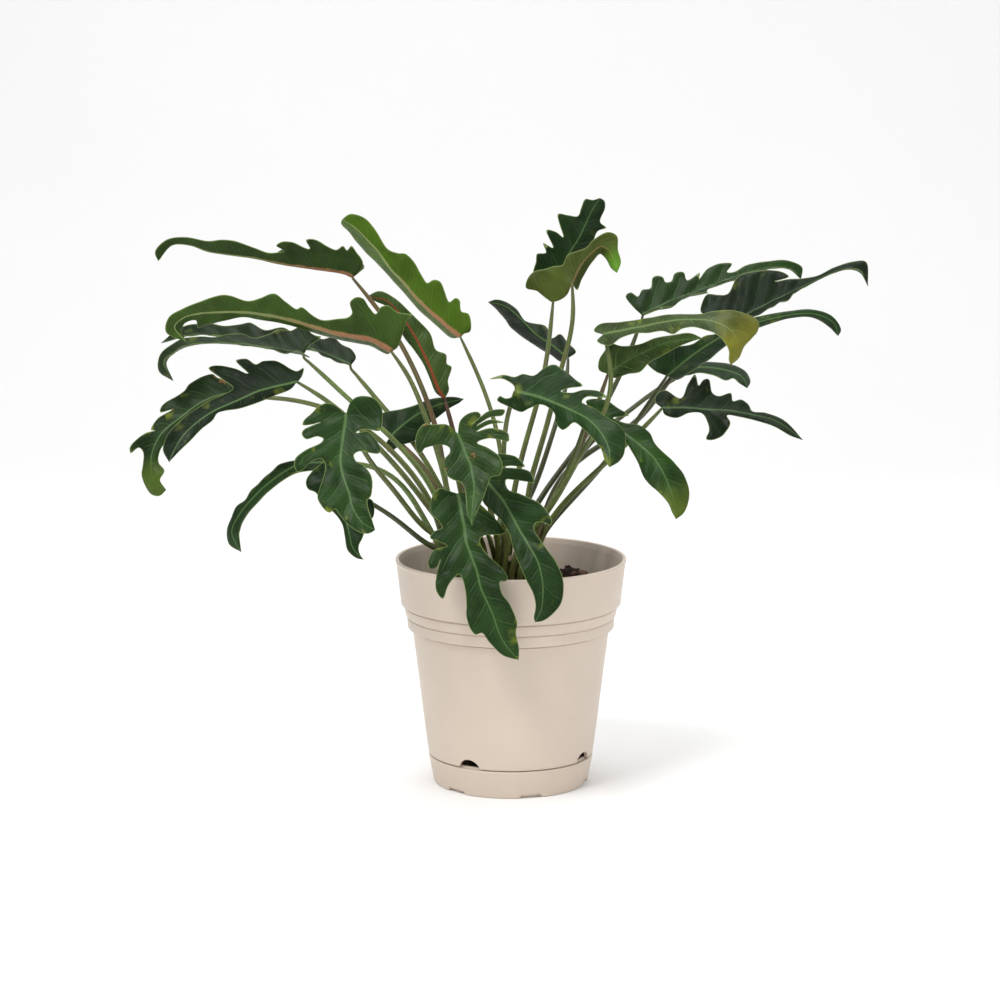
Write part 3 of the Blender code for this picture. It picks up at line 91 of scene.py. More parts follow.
# ---- leaf blades -------------------------------------------------------------------------------
# m: midrib (u, v) from the leaf's base to its tip; y: depth of the midrib at base, middle, tip.
# Each half is one of
#   ("P", g, [(u, v) ...])   its outline from base to tip, leaning back by g per unit of width
#   ("V", (x, y, z), k)      the other half's outline mirrored, lying along this direction, k wide
# top: whether the upper surface faces the front. p: the stalk's way from the crown to the base.
LEAVES = {
    "a": dict(stem=1, top=1, y=(-.100, -.140, -.170), p=[(430, 536, -.034), (395, 490, -.064), (367, 459, -.086)],
        m=[(346, 415), (344, 431), (341, 451), (341, 468), (348, 490), (353, 508), (362, 522), (375, 530)],
        h=[("P", -.25, [(336, 405.5), (327, 403), (319.5, 405.5), (310.6, 414.4), (303, 422), (302.5, 425), (311, 425), (320, 423),
             (311, 426), (304, 429), (302, 434), (306, 439), (318, 436), (323.4, 438.7), (321, 442.5), (305.5, 450), (295, 459),
             (294, 466), (297, 472), (301.7, 470.6), (312, 461.6), (321, 459), (324.6, 463), (324.6, 472), (319.5, 488.4),
             (317.6, 498.6), (324.6, 510), (329.7, 512.7), (335, 509), (340, 515), (349, 525.4), (361.6, 533), (369, 533.5)]),
           ("P", -.25, [(350, 403), (356.5, 397), (366.7, 396), (375.7, 399), (382, 410.6), (382, 426), (379.5, 431), (369, 429.7),
             (361, 429.7), (356, 433), (368, 432), (374.4, 437.4), (380.8, 449), (378, 454), (369, 453), (359, 451.4), (354, 455.3),
             (356.5, 461.6), (363, 465), (369, 472), (373, 482), (370.8, 496), (367.4, 500), (368, 507.6), (372, 519)])]),
    "b": dict(stem=1, top=1, y=(-.104, -.124, -.150), p=[(470, 550), (462, 500), (455, 455)],
        m=[(458, 434), (464, 449), (470.6, 466), (474, 487.6), (472, 510), (472, 526)],
        h=[("P", -.25, [(447, 424.6), (433, 424.6), (424, 424), (418, 431), (415, 444), (417.8, 452.7), (421.6, 453), (424, 449),
             (433, 446), (444.5, 445), (449.6, 448), (449.6, 453), (444.5, 459), (444, 466.7), (447, 475.7), (453.5, 479.5),
             (461, 482), (465, 491), (466, 501), (467, 514)]),
           ("P", -.25, [(460, 421), (468, 413.6), (478, 411.7), (481, 415), (472, 424), (489, 410.8), (505, 410), (503, 415),
             (490, 417.3), (477, 425.6), (489.7, 419.5), (504, 422.5), (490, 424.5), (477, 431.5), (491, 428), (507.6, 432.7),
             (509, 441.6), (501, 440), (488.5, 438), (477, 442.6), (488.5, 448), (500, 457), (502.5, 466), (500, 474.8),
             (491, 477), (488.5, 482.4), (484.6, 495), (478, 510.5)])]),
    "c": dict(stem=2, top=1, y=(-.074, -.1135, -.120), p=[(492, 556, -.030), (482, 524, -.058)],
        m=[(458, 494), (464, 526), (466.8, 543.7), (475.7, 567.5), (481.8, 590.4), (491, 610), (503, 641), (518.6, 660)],
        h=[("P", -.22, [(449.6, 491), (439, 488.4), (431, 500), (430.5, 512.7), (438, 521), (442, 527), (434, 531), (430, 538),
             (437, 541), (447, 546), (434, 550), (428, 563), (430, 569), (436, 568), (440, 560), (436.5, 574), (436, 590.4),
             (442.8, 598.8), (448, 586), (455.8, 576), (459, 574), (462, 578), (465, 589), (466.5, 605.7), (466.5, 618),
             (471, 630), (475.7, 634.8), (481.8, 633), (489.5, 642.5), (503, 655.5)]),
           ("P", -.22, [(466, 492), (478, 502), (492, 515), (503, 528), (506, 533), (502, 535.5), (496, 535.5), (484.6, 535.5), (480, 540),
             (483, 549), (494, 561), (504, 570), (508, 578), (506, 581), (500, 581.5), (502, 593.5), (511, 605.7), (517, 624),
             (516, 633), (519, 648)])]),
    "d": dict(stem=2, top=1, y=(-.050, -.126, -.138), p=[(498, 545, -.018), (490, 505, -.034)],
        m=[(480, 474), (491, 486), (503.8, 501.6), (516.5, 524.5), (526.7, 542), (537, 560), (542, 578), (543, 596.5), (541, 610), (535, 622)],
        h=[("P", -.15, [(482, 500), (492, 511.8), (500, 519), (509.4, 533.8), (512.5, 546), (520, 566), (526, 579.7), (533, 593.5),
             (535.5, 605.7), (534, 618)]),
           ("P", -.15, [(484, 455), (501, 454), (516.5, 457), (524, 466), (511, 466), (497, 468), (512, 468), (524, 468.8), (531.8, 473.5),
             (534.4, 483.7), (529, 482.4), (516.5, 480), (506, 479.3), (505, 482.4), (508.9, 490), (516.5, 492.6), (529.3, 497.8),
             (539.5, 503), (548.4, 513), (552.2, 520.7), (551, 525), (543.3, 522.6), (536.3, 523), (534.4, 529.6), (539.5, 538.6),
             (548.4, 551.3), (555, 559.8), (561.4, 573.6), (563.7, 587), (561.4, 602.7), (553.8, 613), (543, 621)])]),
    "e": dict(stem=2, top=1, y=(-.050, -.085, -.140), p=[(501, 550, -.010), (503, 470, -.030), (506, 415, -.042)],
        m=[(515, 391), (528, 394), (542, 398), (567.5, 408.5), (589, 420), (603, 436), (609, 450), (609.6, 467)],
        h=[("P", .85, [(514, 386), (503, 379), (490, 379), (503, 375), (515, 377), (523, 374), (534, 375), (546, 367.7), (554.8, 365),
             (562.4, 369), (572.7, 376.6), (582.9, 386.8), (571, 387), (561, 391), (572, 392.5), (584, 390.8), (598, 390.6), (607, 397),
             (598, 396.8), (586.7, 397), (582, 402), (592, 407), (604, 415), (618, 425), (625, 433), (624, 454), (618.6, 462)]),
           ("P", -.2, [(511.4, 397), (505, 398.3), (500, 396), (497, 400), (509, 407), (521.6, 412), (529, 408.5), (540.8, 404.5),
             (551, 409.5), (554.8, 414.8), (554.8, 421), (562.4, 430), (567.5, 427.6), (574, 422.5), (582.9, 428.6), (593, 439),
             (601, 449), (605, 460.8)])]),
    "f": dict(stem=2, top=1, y=(-.028, -.056, -.100), p=[(520, 545, -.004), (545, 520, -.012), (562, 482, -.016), (580, 444, -.023)],
        m=[(590, 408), (605, 418), (625.5, 434), (644.6, 449), (656, 461), (666, 479), (673, 498), (676, 519)],
        h=[("P", .75, [(586, 401), (597, 398.5), (609, 402), (618.6, 408.5), (628.8, 415), (613, 418), (624, 422.5), (638, 425),
             (649.7, 432.7), (654.8, 443), (663.8, 453), (675, 463), (684, 474.8), (688.6, 488.8), (688, 504), (683, 514)]),
           ("P", -.2, [(590, 414), (598, 422), (611, 431), (624, 440), (632, 452), (638, 463), (644.6, 478.6), (658.7, 492.6),
             (668, 503), (672, 512)])]),
    "g": dict(stem=2, top=0, y=(.012, .020, .012), p=[(525, 500, .010), (540, 450, .010), (551, 411, .011), (562, 363, .012), (575, 325, .012)],
        m=[(572, 283), (580, 266), (590, 254), (601, 246), (609, 250), (614, 259), (617, 273)],
        h=[("P", .15, [(566, 296), (552, 302), (545, 297), (537, 291), (526, 288), (528, 278), (534, 271.6), (544.6, 269),
             (554.8, 266), (562.4, 265), (567.5, 255), (577, 251), (586.7, 247), (593, 240), (608, 232), (617, 236), (618, 250),
             (621, 262)]),
           ("P", .9, [(577, 290), (582, 279), (588, 268), (594, 260), (600, 254), (606, 259), (611, 268)])]),
    "h": dict(stem=2, top=1, y=(.050, .060, .070), p=[(512, 500, .022), (526, 440, .030), (540, 395, .036), (549, 345, .045)],
        m=[(553, 303), (560, 275), (568, 255), (577, 241), (585, 225), (592, 210), (600, 198)],
        h=[("P", -.2, [(543, 296), (533.8, 286), (533, 271.6), (536, 262), (537, 254), (546, 252.5), (543.3, 243), (553, 247.7),
             (546, 230), (556, 232), (563, 237), (558, 214), (567.5, 215), (577.8, 216), (581, 208), (585.4, 199), (593, 200)]),
           ("P", .5, [(562, 296), (572, 285), (580, 270), (588, 252), (594, 240), (598, 231), (605.8, 227.6), (600, 222), (605, 208),
             (604.5, 201)])]),
    "i": dict(stem=2, top=1, e=-1, y=(.095, .130, .160), p=[(530, 500, .046), (547, 452, .057), (560, 410, .070), (570, 378, .085)],
        m=[(568, 358), (552, 345), (536, 334), (520, 318), (505, 306), (488, 302)],
        h=[("P", .7, [(576, 352), (567.5, 342.4), (560, 334), (552, 338), (546, 326.5), (525.5, 321), (516.5, 309), (503.8, 301), (496, 299.6)]),
           ("P", 1.3, [(562, 362), (551, 355), (540, 349), (528, 340.7), (511, 328), (504, 318), (496, 309)])]),
    "j": dict(stem=2, top=1, e=0, y=(.060, .110, .145), p=[(545, 490, .034), (575, 452, .042), (604, 408, .050), (627, 360, .056)],
        m=[(642, 315), (671, 301.6), (702, 290), (734, 277.4), (769, 268.5), (789, 269), (801, 279)],
        h=[("P", .8, [(634, 308), (626, 297), (631, 292.7), (638, 296.5), (642, 290), (651, 287), (653, 277.4), (662.5, 278.7),
             (665, 283), (671.4, 281), (675, 273), (684, 272), (687, 280), (699.5, 273.6), (699, 279), (708.4, 267.8), (722.4, 263),
             (732, 264), (727, 272), (734, 272), (746.7, 265), (766, 261.5), (788, 260.5), (802, 267)]),
           ("V", (.1, -.97, .09), 1.5)]),
    "k": dict(stem=2, top=1, e=0, y=(.018, .030, .020), p=[(560, 475, .022), (600, 445, .020), (642, 420, .015), (675, 370, .012), (718, 334, .008)],
        m=[(745, 316), (770, 303), (807, 285), (834, 272.5), (850, 269), (861, 273), (868, 286)],
        h=[("P", .7, [(733, 322), (715, 318), (700.8, 311.8), (702, 301.6), (707, 295), (718, 295), (727.6, 294), (735, 280),
             (740, 276), (765.8, 269.7), (781.6, 272), (789, 277), (775, 281), (792, 279), (805, 278), (818, 275.5), (834, 267.5),
             (852, 261.8), (866, 262)]),
           ("V", (.15, -.97, .10), 1.1)]),
    "m": dict(stem=2, top=1, y=(-.040, -.070, -.100), p=[(550, 510, -.018), (580, 455, -.034), (611, 402, -.042), (612, 362, -.044)],
        m=[(604, 334), (640, 327), (680, 320), (715, 322), (733, 333), (737, 347), (731, 365)],
        h=[("P", 1.1, [(594, 331), (598, 325), (620.4, 322), (632, 320.5), (651, 317.5), (666, 314.7), (702, 313.7), (714.8, 311),
             (740, 311.4), (753, 316), (759, 322), (757, 332), (752, 338), (744, 347), (739, 358)]),
           ("P", -1.0, [(597, 341), (609.6, 345.6), (621, 338), (634, 333.5), (648.5, 333), (662.5, 331), (674, 334), (682, 329), (693, 327),
             (708.4, 331), (719, 336), (725, 343), (729, 352), (729, 360)])]),
    "n": dict(stem=2, top=1, y=(-.024, -.034, -.038), p=[(552, 500, .005), (575, 460, .002), (594, 415, .000)],
        m=[(608, 374), (625.5, 361.6), (651, 349), (669, 342), (702, 338)],
        h=[("P", .2, [(599, 370), (599, 360), (603.8, 352), (610, 343.7), (622, 346), (640, 344), (655, 338), (672, 335), (690, 333)]),
           ("P", -.5, [(614, 378), (628, 374), (640, 372), (650, 362), (662, 356), (678, 347), (690, 342)])]),
    "o": dict(stem=2, top=1, y=(-.004, -.030, -.024), p=[(535, 540, .012), (567, 505, .010), (606, 462, .005), (635, 424, -.003)],
        m=[(667, 376), (690, 357), (712, 342), (740, 328), (789, 315), (815, 314), (834, 323), (838, 336)],
        h=[("P", .8, [(655, 371), (645, 360), (646, 347), (660, 344), (676, 346), (692, 344), (705, 336), (718, 333), (738, 321), (760, 316),
             (789, 311), (812, 309.5), (832, 316), (841, 330)]),
           ("P", .9, [(676, 380), (692, 371), (706, 362), (722, 349), (742, 335), (764, 326), (789, 318.5), (812, 317.5), (829, 327)])]),
    "p": dict(stem=2, top=1, y=(-.040, -.055, -.080), p=[(548, 520, .002), (600, 468, -.012), (640, 432, -.028)],
        m=[(662.5, 407.8), (689, 407.8), (708.4, 409.7), (727.6, 410.4), (753, 414.8), (776, 421), (803, 440)],
        h=[("P", .8, [(655, 402), (657, 394), (666, 391), (681, 398), (688, 383), (695, 374), (699, 386), (703, 382), (709, 380), (712, 392),
             (719, 396), (731, 393), (733, 401), (741, 400), (749, 405), (752, 411), (766, 413), (785, 421)]),
           ("P", -.4, [(664, 414), (676, 418), (689, 413), (702, 413.5), (708, 423.8), (709, 431.4), (706, 439), (713, 440), (727.6, 430),
             (730.5, 422.5), (727, 415.5), (740, 417), (757, 421), (775, 427), (790, 435.5)])]),
    "q": dict(stem=2, top=1, y=(.050, .060, .045), p=[(558, 490, .030), (592, 438, .036), (628, 413, .042), (657, 388, .047)],
        m=[(680, 376), (690, 369.5), (705, 367.5), (728, 371), (742, 377), (747.3, 388)],
        h=[("P", 2.2, [(681, 370), (694.4, 363.5), (712, 362), (727.6, 363.5), (737.8, 366.7), (746.7, 373), (750.5, 382)]),
           ("P", -2.2, [(689, 375), (699.5, 373), (714.8, 375.8), (727, 380.5), (733, 378.5), (739, 383)])]),
    "r": dict(stem=1, top=0, y=(.050, .070, .080), p=[(447, 500), (440, 440), (414, 368), (388, 322)],
        m=[(353, 277), (344, 273), (318, 269), (280, 263.5), (255, 258), (225, 254), (207, 251), (190, 245), (172, 245), (158, 261)],
        h=[("P", -.6, [(360, 271), (363, 262), (356.5, 253), (351, 246), (347, 250.5), (343, 246), (336, 250), (321, 242), (306, 240),
             (309.5, 249), (291, 241.5), (283, 241.5), (276, 246), (284, 250.5), (270.5, 253), (255, 248), (241, 243), (225, 239.5),
             (207, 241), (186, 237), (166, 240), (155, 252)]),
           ("V", (-.05, .85, .48), 1.35)]),
    "s": dict(stem=2, top=0, y=(.080, .120, .145), p=[(503, 500, .032), (502, 455, .042), (491, 408, .056), (477, 372, .069)],
        m=[(461, 337), (442, 321), (420, 301), (401, 279), (391, 269), (379.5, 252.5), (369, 241), (355, 227), (342.5, 219)],
        h=[("P", -.45, [(463.7, 334), (470, 331.6), (471, 323), (468, 313.5), (462, 311.5), (460, 301), (455, 298), (449, 302),
             (444.5, 291), (440, 281), (433, 280), (427, 283), (415, 263), (406, 254), (397, 253), (388, 249), (374, 228),
             (363, 217), (350, 214)]),
           ("P", 2.4, [(452, 338), (437, 326), (420, 311), (404, 293), (386, 273), (371, 257.5), (358, 244), (349, 232), (341, 223)])]),
    "t": dict(stem=1, top=0, y=(-.020, -.040, -.052), p=[(448, 490), (434, 440), (421, 405), (410, 374)],
        m=[(392, 351), (374, 340.5), (337, 333), (305.5, 324), (287, 318.6), (247.5, 312), (225, 311.5), (200, 313), (184, 317),
           (174, 327), (186, 342)],
        h=[("P", -.5, [(397, 348), (401, 339), (407.5, 319), (413, 314), (397, 312.5), (388, 306), (381, 307), (375.7, 314), (369, 307),
             (363, 298), (356.5, 296.5), (350, 303), (352, 313), (347, 318), (336, 319), (322, 320), (312, 315), (301, 307),
             (297, 309), (286, 302), (275, 294), (260, 298), (247.5, 301), (231, 296), (219.5, 295), (202, 301), (184, 308), (169, 317),
             (166, 332)]),
           ("P", 2.2, [(388, 354), (370, 346), (340, 340), (308, 331), (285, 324), (258, 319.5), (245, 317), (230, 319.5), (209, 324.5),
             (198, 328.5), (196, 320.5), (185, 323), (182, 330)])]),
    "u": dict(stem=1, top=1, e=0, y=(-.002, -.012, -.030), p=[(440, 500), (395, 440), (351, 402), (327, 378)],
        m=[(304, 354), (280, 350), (253, 345.5), (225, 343), (200, 343.5), (180, 349), (166, 362), (173, 381)],
        h=[("P", 1.1, [(310, 345), (321, 336), (311, 332.6), (300, 327), (290, 331), (279, 328), (270, 334), (254, 338), (242, 333.5),
             (231, 334), (215, 337), (198, 336.5), (177, 341), (160, 355), (159, 371)]),
           ("V", (-.05, -.95, .12), 1.4)]),
    "v": dict(stem=1, top=1, e=0, y=(.060, .085, .100), p=[(446, 500), (420, 450), (380, 404), (360, 378)],
        m=[(351, 365), (330, 356), (305.5, 347), (270, 341), (230, 337), (195, 334.5), (161, 343)],
        h=[("P", 1.2, [(356, 358), (352, 350), (341, 343), (333, 338), (322, 339), (310, 333), (296, 335), (282, 327), (266, 330), (248, 323),
             (226, 326), (203, 323), (180, 328)]),
           ("V", (-.1, -.95, .10), 1.4)]),
    "w": dict(stem=1, top=1, y=(-.060, -.090, -.120), p=[(438, 520, -.018), (400, 470, -.034), (351, 420, -.050), (322, 396, -.056)],
        m=[(297, 381.7), (276, 386.5), (260, 390.6), (247.5, 396), (232, 403), (214, 411), (194, 425), (180, 440), (169, 462)],
        h=[("P", .95, [(302, 376), (303.7, 368), (297, 371), (283, 364.5), (273, 361), (263, 361), (256, 364), (246, 358), (236, 361),
             (248, 373), (235, 369.6), (219.5, 365), (208.6, 367.7), (222, 379), (233, 388), (222, 395), (207, 402), (191, 412),
             (177, 424), (166, 437), (163, 450)]),
           ("P", -.35, [(291, 389), (274, 396), (257, 403), (240, 408.5), (224, 411), (217, 413.5), (213, 420), (201.6, 429),
             (191.4, 439.8), (178.5, 452)])]),
    "x": dict(stem=1, top=1, y=(-.012, -.018, -.040), p=[(434, 505), (390, 448), (345, 415), (290, 398)],
        m=[(249, 397), (226, 394), (202, 402), (180, 418), (163, 432), (154, 447), (151, 465), (154, 480), (166, 490)],
        h=[("P", .7, [(247, 389), (235, 383), (217, 377), (213, 374), (204, 376.6), (189, 384), (184.4, 390.6), (171, 399.5), (161, 407),
             (160, 412), (172, 410), (158, 418), (151, 430), (155, 430.5), (146, 433), (136.6, 440), (129.6, 448), (130, 453), (139, 447.7), (143, 452),
             (143, 464), (141.7, 475), (145.5, 486), (152, 494.6), (159.5, 496)]),
           ("P", -.2, [(242, 402), (228, 404), (209, 410), (193, 419), (180, 430), (168, 440), (160.5, 450), (158.5, 462), (164.6, 471),
             (160, 480)])]),
    "y": dict(stem=1, top=1, y=(-.030, -.055, -.080), p=[(438, 545), (400, 478), (374, 464), (345, 461)],
        m=[(325, 462), (298, 465), (273, 480), (255, 496), (240, 514), (232, 532), (241, 552)],
        h=[("P", 1.1, [(318, 455), (304, 459), (286, 462), (278, 465), (272, 471), (265, 477), (258, 484), (251, 490), (245, 500), (237, 506),
             (231, 518), (227, 530), (229, 544)]),
           ("P", -1.1, [(318, 469), (302, 472), (290, 476), (281, 482), (272, 489), (263, 497), (254, 507), (246, 517), (240, 530),
             (240, 542)])]),
    "z": dict(stem=1, top=1, y=(-.060, -.078, -.092), p=[(434, 552, -.036), (408, 528, -.056), (385, 510, -.062)],
        m=[(360, 497), (352, 508), (347, 520), (350, 536), (353, 548), (363.5, 559.6)],
        h=[("P", .3, [(350, 478), (337, 468), (324.6, 462), (313, 470.6), (306, 482), (308, 489), (316, 493), (322, 505), (333, 512), (342, 524),
             (345, 538), (347.5, 550), (356, 558)]),
           ("P", -.3, [(372, 500), (374, 515), (366, 527), (363, 537), (358.6, 547), (360, 554.7)])]),
    "n2": dict(stem=1, top=1, y=(.028, .044, .060), p=[(448, 515), (436, 480), (412, 452)],
        m=[(391, 436), (404, 424), (420, 413), (438, 405), (464, 399)],
        h=[("P", .5, [(383, 430), (376, 420), (384, 412), (402, 409), (418, 404), (430, 399), (446, 397), (455, 397)]),
           ("P", -.3, [(386, 444), (388, 452), (402, 445), (416, 440), (424, 428), (437, 418), (450, 408), (459, 403)])]),
    "t2": dict(stem=1, top=1, y=(.030, .042, .055), p=[(462, 500), (459, 450), (451, 422)],
        m=[(444.5, 399), (439, 390), (430.5, 368.6), (420, 345.6), (410, 328), (398, 311), (385, 300), (366, 297)],
        h=[("P", .2, [(449, 390), (448, 381), (451.5, 366.7), (447, 363.7), (446, 354.5), (436, 349.7), (430, 333), (416, 318),
             (407.5, 309.5), (394.8, 298), (379.5, 291)]),
           ("P", .5, [(436, 393), (430, 379), (423, 363.5), (414, 350), (402.7, 335.4), (396, 319), (389, 308), (377, 302)])]),
}


def smooth(points, spacing):
    """Points about `spacing` apart on a smooth curve through the given ones (any dimension)."""
    p = np.asarray(points, float)
    e = np.vstack([2 * p[0] - p[1], p, 2 * p[-1] - p[-2]])
    out = [p[0]]
    for i in range(1, len(e) - 2):
        a, b, c, d = e[i - 1], e[i], e[i + 1], e[i + 2]
        k = [0.0]
        for q, r in ((a, b), (b, c), (c, d)):
            k.append(k[-1] + max(math.sqrt(np.linalg.norm(r - q)), 1e-6))
        n = max(1, int(round(np.linalg.norm(c - b) / spacing)))
        for j in range(1, n + 1):
            t = k[1] + (k[2] - k[1]) * j / n
            a1 = a * (k[1] - t) / (k[1] - k[0]) + b * (t - k[0]) / (k[1] - k[0])
            a2 = b * (k[2] - t) / (k[2] - k[1]) + c * (t - k[1]) / (k[2] - k[1])
            a3 = c * (k[3] - t) / (k[3] - k[2]) + d * (t - k[2]) / (k[3] - k[2])
            b1 = a1 * (k[2] - t) / (k[2] - k[0]) + a2 * (t - k[0]) / (k[2] - k[0])
            b2 = a2 * (k[3] - t) / (k[3] - k[1]) + a3 * (t - k[1]) / (k[3] - k[1])
            out.append(b1 * (k[2] - t) / (k[2] - k[1]) + b2 * (t - k[1]) / (k[2] - k[1]))
    return np.array(out)


def along(poly):
    return np.concatenate([[0], np.cumsum(np.linalg.norm(np.diff(poly, axis=0), axis=1))])


def project(curve, pts):
    """Arc length and signed distance (left of travel positive, v down) of points to a flat curve."""
    s = along(curve)
    a, d = curve[:-1], np.diff(curve, axis=0)
    ln = np.linalg.norm(d, axis=1)
    t = d / ln[:, None]
    rel = pts[:, None, :] - a[None]
    k = (rel * t).sum(-1)
    lo, hi = np.zeros(len(ln)), ln.copy()
    lo[0], hi[-1] = -1e9, 1e9
    kc = np.clip(k, lo, hi)
    off = rel - kc[..., None] * t
    dist = np.linalg.norm(off, axis=-1)
    i = dist.argmin(1)
    r = np.arange(len(pts))
    side = np.sign(t[i, 1] * rel[r, i, 0] - t[i, 0] * rel[r, i, 1])
    return s[i] + kc[r, i], side * dist[r, i]


def inside(poly, pts):
    x, y = pts[:, 0], pts[:, 1]
    res = np.zeros(len(pts), bool)
    for (x1, y1), (x2, y2) in zip(poly, np.roll(poly, -1, axis=0)):
        if y1 != y2:
            res ^= ((y1 > y) != (y2 > y)) & (x < (x2 - x1) * (y - y1) / (y2 - y1) + x1)
    return res


def edge_gap(line, pts):
    best = np.full(len(pts), 1e9)
    for a, b in zip(line[:-1], line[1:]):
        d = b - a
        t = np.clip(((pts - a) @ d) / max(d @ d, 1e-12), 0, 1)
        best = np.minimum(best, np.linalg.norm(pts - a - t[:, None] * d, axis=1))
    return best


def outline_width(s, w, gap):
    """A half's outline as one width per place along the midrib, its sharp points eased."""
    k = np.linspace(s.min() + .5, s.max() - .5, max(4, int(round((s.max() - s.min()) / gap))))
    best = np.zeros(len(k))
    for a, b, c, d in zip(s[:-1], s[1:], w[:-1], w[1:]):
        if abs(b - a) > 1e-9:
            f = (k - a) / (b - a)
            hit = (f >= 0) & (f <= 1)
            best = np.where(hit, np.maximum(best, c + (d - c) * np.clip(f, 0, 1)), best)
    for _ in range(max(1, int(round(5.0 / gap)))):
        best[1:-1] = best[1:-1] * .5 + (best[:-2] + best[2:]) * .25
    return k, np.maximum(best, .6)


def blade_sheet(leaf, grid, edge=None):
    """The blade's middle surface: points, triangles, (s, w) flat coordinates and margin distance."""
    fine = smooth(leaf["m"], 1.5)
    s_f = along(fine)
    total = s_f[-1]
    ydep = np.interp(s_f, [0, total / 2, total], leaf["y"])
    ydep = np.interp(s_f, s_f, ydep)
    # depth follows a smooth quadratic through the three given values
    y0, y1, y2 = leaf["y"]
    q = s_f / total
    ydep = y0 * (1 - q) * (1 - 2 * q) + y1 * 4 * q * (1 - q) + y2 * q * (2 * q - 1)
    m3 = at(fine[:, 0], fine[:, 1], ydep)
    n_mid = max(4, int(round(total / grid)))
    s_m = np.linspace(0, total, n_mid + 1)
    mid_uv = np.stack([np.interp(s_m, s_f, fine[:, 0]), np.interp(s_m, s_f, fine[:, 1])], 1)
    y_m = np.interp(s_m, s_f, ydep)
    P = [at(mid_uv[:, 0], mid_uv[:, 1], y_m)]
    SW = [np.stack([s_m, 0 * s_m], 1)]
    E = [np.full(len(s_m), 1e9)]
    tris = []
    sign0 = None
    lines = {}
    for spec in leaf["h"]:
        if spec[0] == "P":
            o = np.array([leaf["m"][0]] + list(spec[2]) + [leaf["m"][-1]], float)
            o = smooth(o, edge) if edge else o
            lines[id(spec)] = o
    for spec in leaf["h"]:
        if spec[0] == "P":
            o = lines[id(spec)][1:-1]
            so, wo = project(fine, o)
            sg = 1.0 if wo.sum() > 0 else -1.0
            flat = np.stack([o[:, 0], -o[:, 1]], 1)
            mid = np.stack([mid_uv[:, 0], -mid_uv[:, 1]], 1)
        else:
            other = [z for z in leaf["h"] if z is not spec][0]
            o = lines[id(other)][1:-1]
            so, wo = project(fine, o)
            sg = -1.0 if wo.sum() > 0 else 1.0
            so, wo = outline_width(so, np.abs(wo), edge or 6.0)
            so = np.where(so < 0, so * .4, so)
            flat = np.stack([so, sg * wo], 1)
            mid = np.stack([s_m, 0 * s_m], 1)
        ring = np.vstack([mid, flat[::-1]])
        line = np.vstack([mid[:1], flat, mid[-1:]])
        lo, hi = ring.min(0), ring.max(0)
        gx = np.arange(lo[0], hi[0], grid)
        gy = np.arange(lo[1], hi[1], grid * .866)
        pts = np.array([(x + (grid / 2 if j % 2 else 0), y) for j, y in enumerate(gy) for x in gx])
        if len(pts):
            pts = pts[inside(ring, pts)]
        if len(pts):
            closed = np.vstack([ring, ring[:1]])
            pts = pts[edge_gap(closed, pts) > grid * .55]
        allp = np.vstack([ring, pts]) if len(pts) else ring
        n = len(ring)
        vs, _, fs, orig, _, _ = delaunay_2d_cdt([Vector(p) for p in allp], [(i, (i + 1) % n) for i in range(n)], [], 1, 1e-6)
        vs = np.array([(a.x, a.y) for a in vs])
        base = sum(len(a) for a in P)
        ids = np.full(len(vs), -1)
        for i, src in enumerate(orig):
            for j in src:
                if j < len(mid):
                    ids[i] = j
        new = np.where(ids < 0)[0]
        ids[new] = base + np.arange(len(new))
        q = vs[new]
        if spec[0] == "P":
            uv = np.stack([q[:, 0], -q[:, 1]], 1)
            s, w = project(fine, uv)
            yy = np.interp(s, s_f, ydep) + spec[1] * np.abs(w) * UNIT
            P.append(at(uv[:, 0], uv[:, 1], yy))
            SW.append(np.stack([s, sg * np.abs(w)], 1))
        else:
            s, w = q[:, 0], np.abs(q[:, 1]) * spec[2]
            w = w * np.clip((total - s) / (.14 * total), 0, 1)
            d = np.gradient(m3, s_f, axis=0)
            tan = np.stack([np.interp(s, s_f, d[:, i]) for i in range(3)], 1)
            tl = tan / np.linalg.norm(tan, axis=1)[:, None]
            v = np.array(spec[1], float)
            v = v - (tl @ v)[:, None] * tl
            v /= np.linalg.norm(v, axis=1)[:, None]
            pos = np.stack([np.interp(s, s_f, m3[:, i]) for i in range(3)], 1)
            pos += np.minimum(s, 0)[:, None] * d[0] + np.maximum(s - total, 0)[:, None] * d[-1]
            P.append(pos + v * (w * UNIT)[:, None])
            SW.append(np.stack([s, sg * w], 1))
        E.append(edge_gap(line, q))
        E[0] = np.minimum(E[0], edge_gap(line, mid))
        for f in fs:
            a, b, c = (vs[i] for i in f)
            if abs((b[0] - a[0]) * (c[1] - a[1]) - (b[1] - a[1]) * (c[0] - a[0])) < 1e-9:
                continue
            t = [ids[i] for i in f]
            if (b[0] - a[0]) * (c[1] - a[1]) - (b[1] - a[1]) * (c[0] - a[0]) < 0:
                t.reverse()
            tris.append(t)
    P, SW, E = np.vstack(P), np.vstack(SW), np.concatenate(E)
    used = np.unique(np.array(tris))
    back = np.full(len(P), -1)
    back[used] = np.arange(len(used))
    return P[used], back[np.array(tris)], SW[used], E[used]


def normals(P, T):
    n = np.cross(P[T[:, 1]] - P[T[:, 0]], P[T[:, 2]] - P[T[:, 0]])
    out = np.zeros_like(P)
    for i in range(3):
        np.add.at(out, T[:, i], n)
    return out / np.maximum(np.linalg.norm(out, axis=1), 1e-12)[:, None]


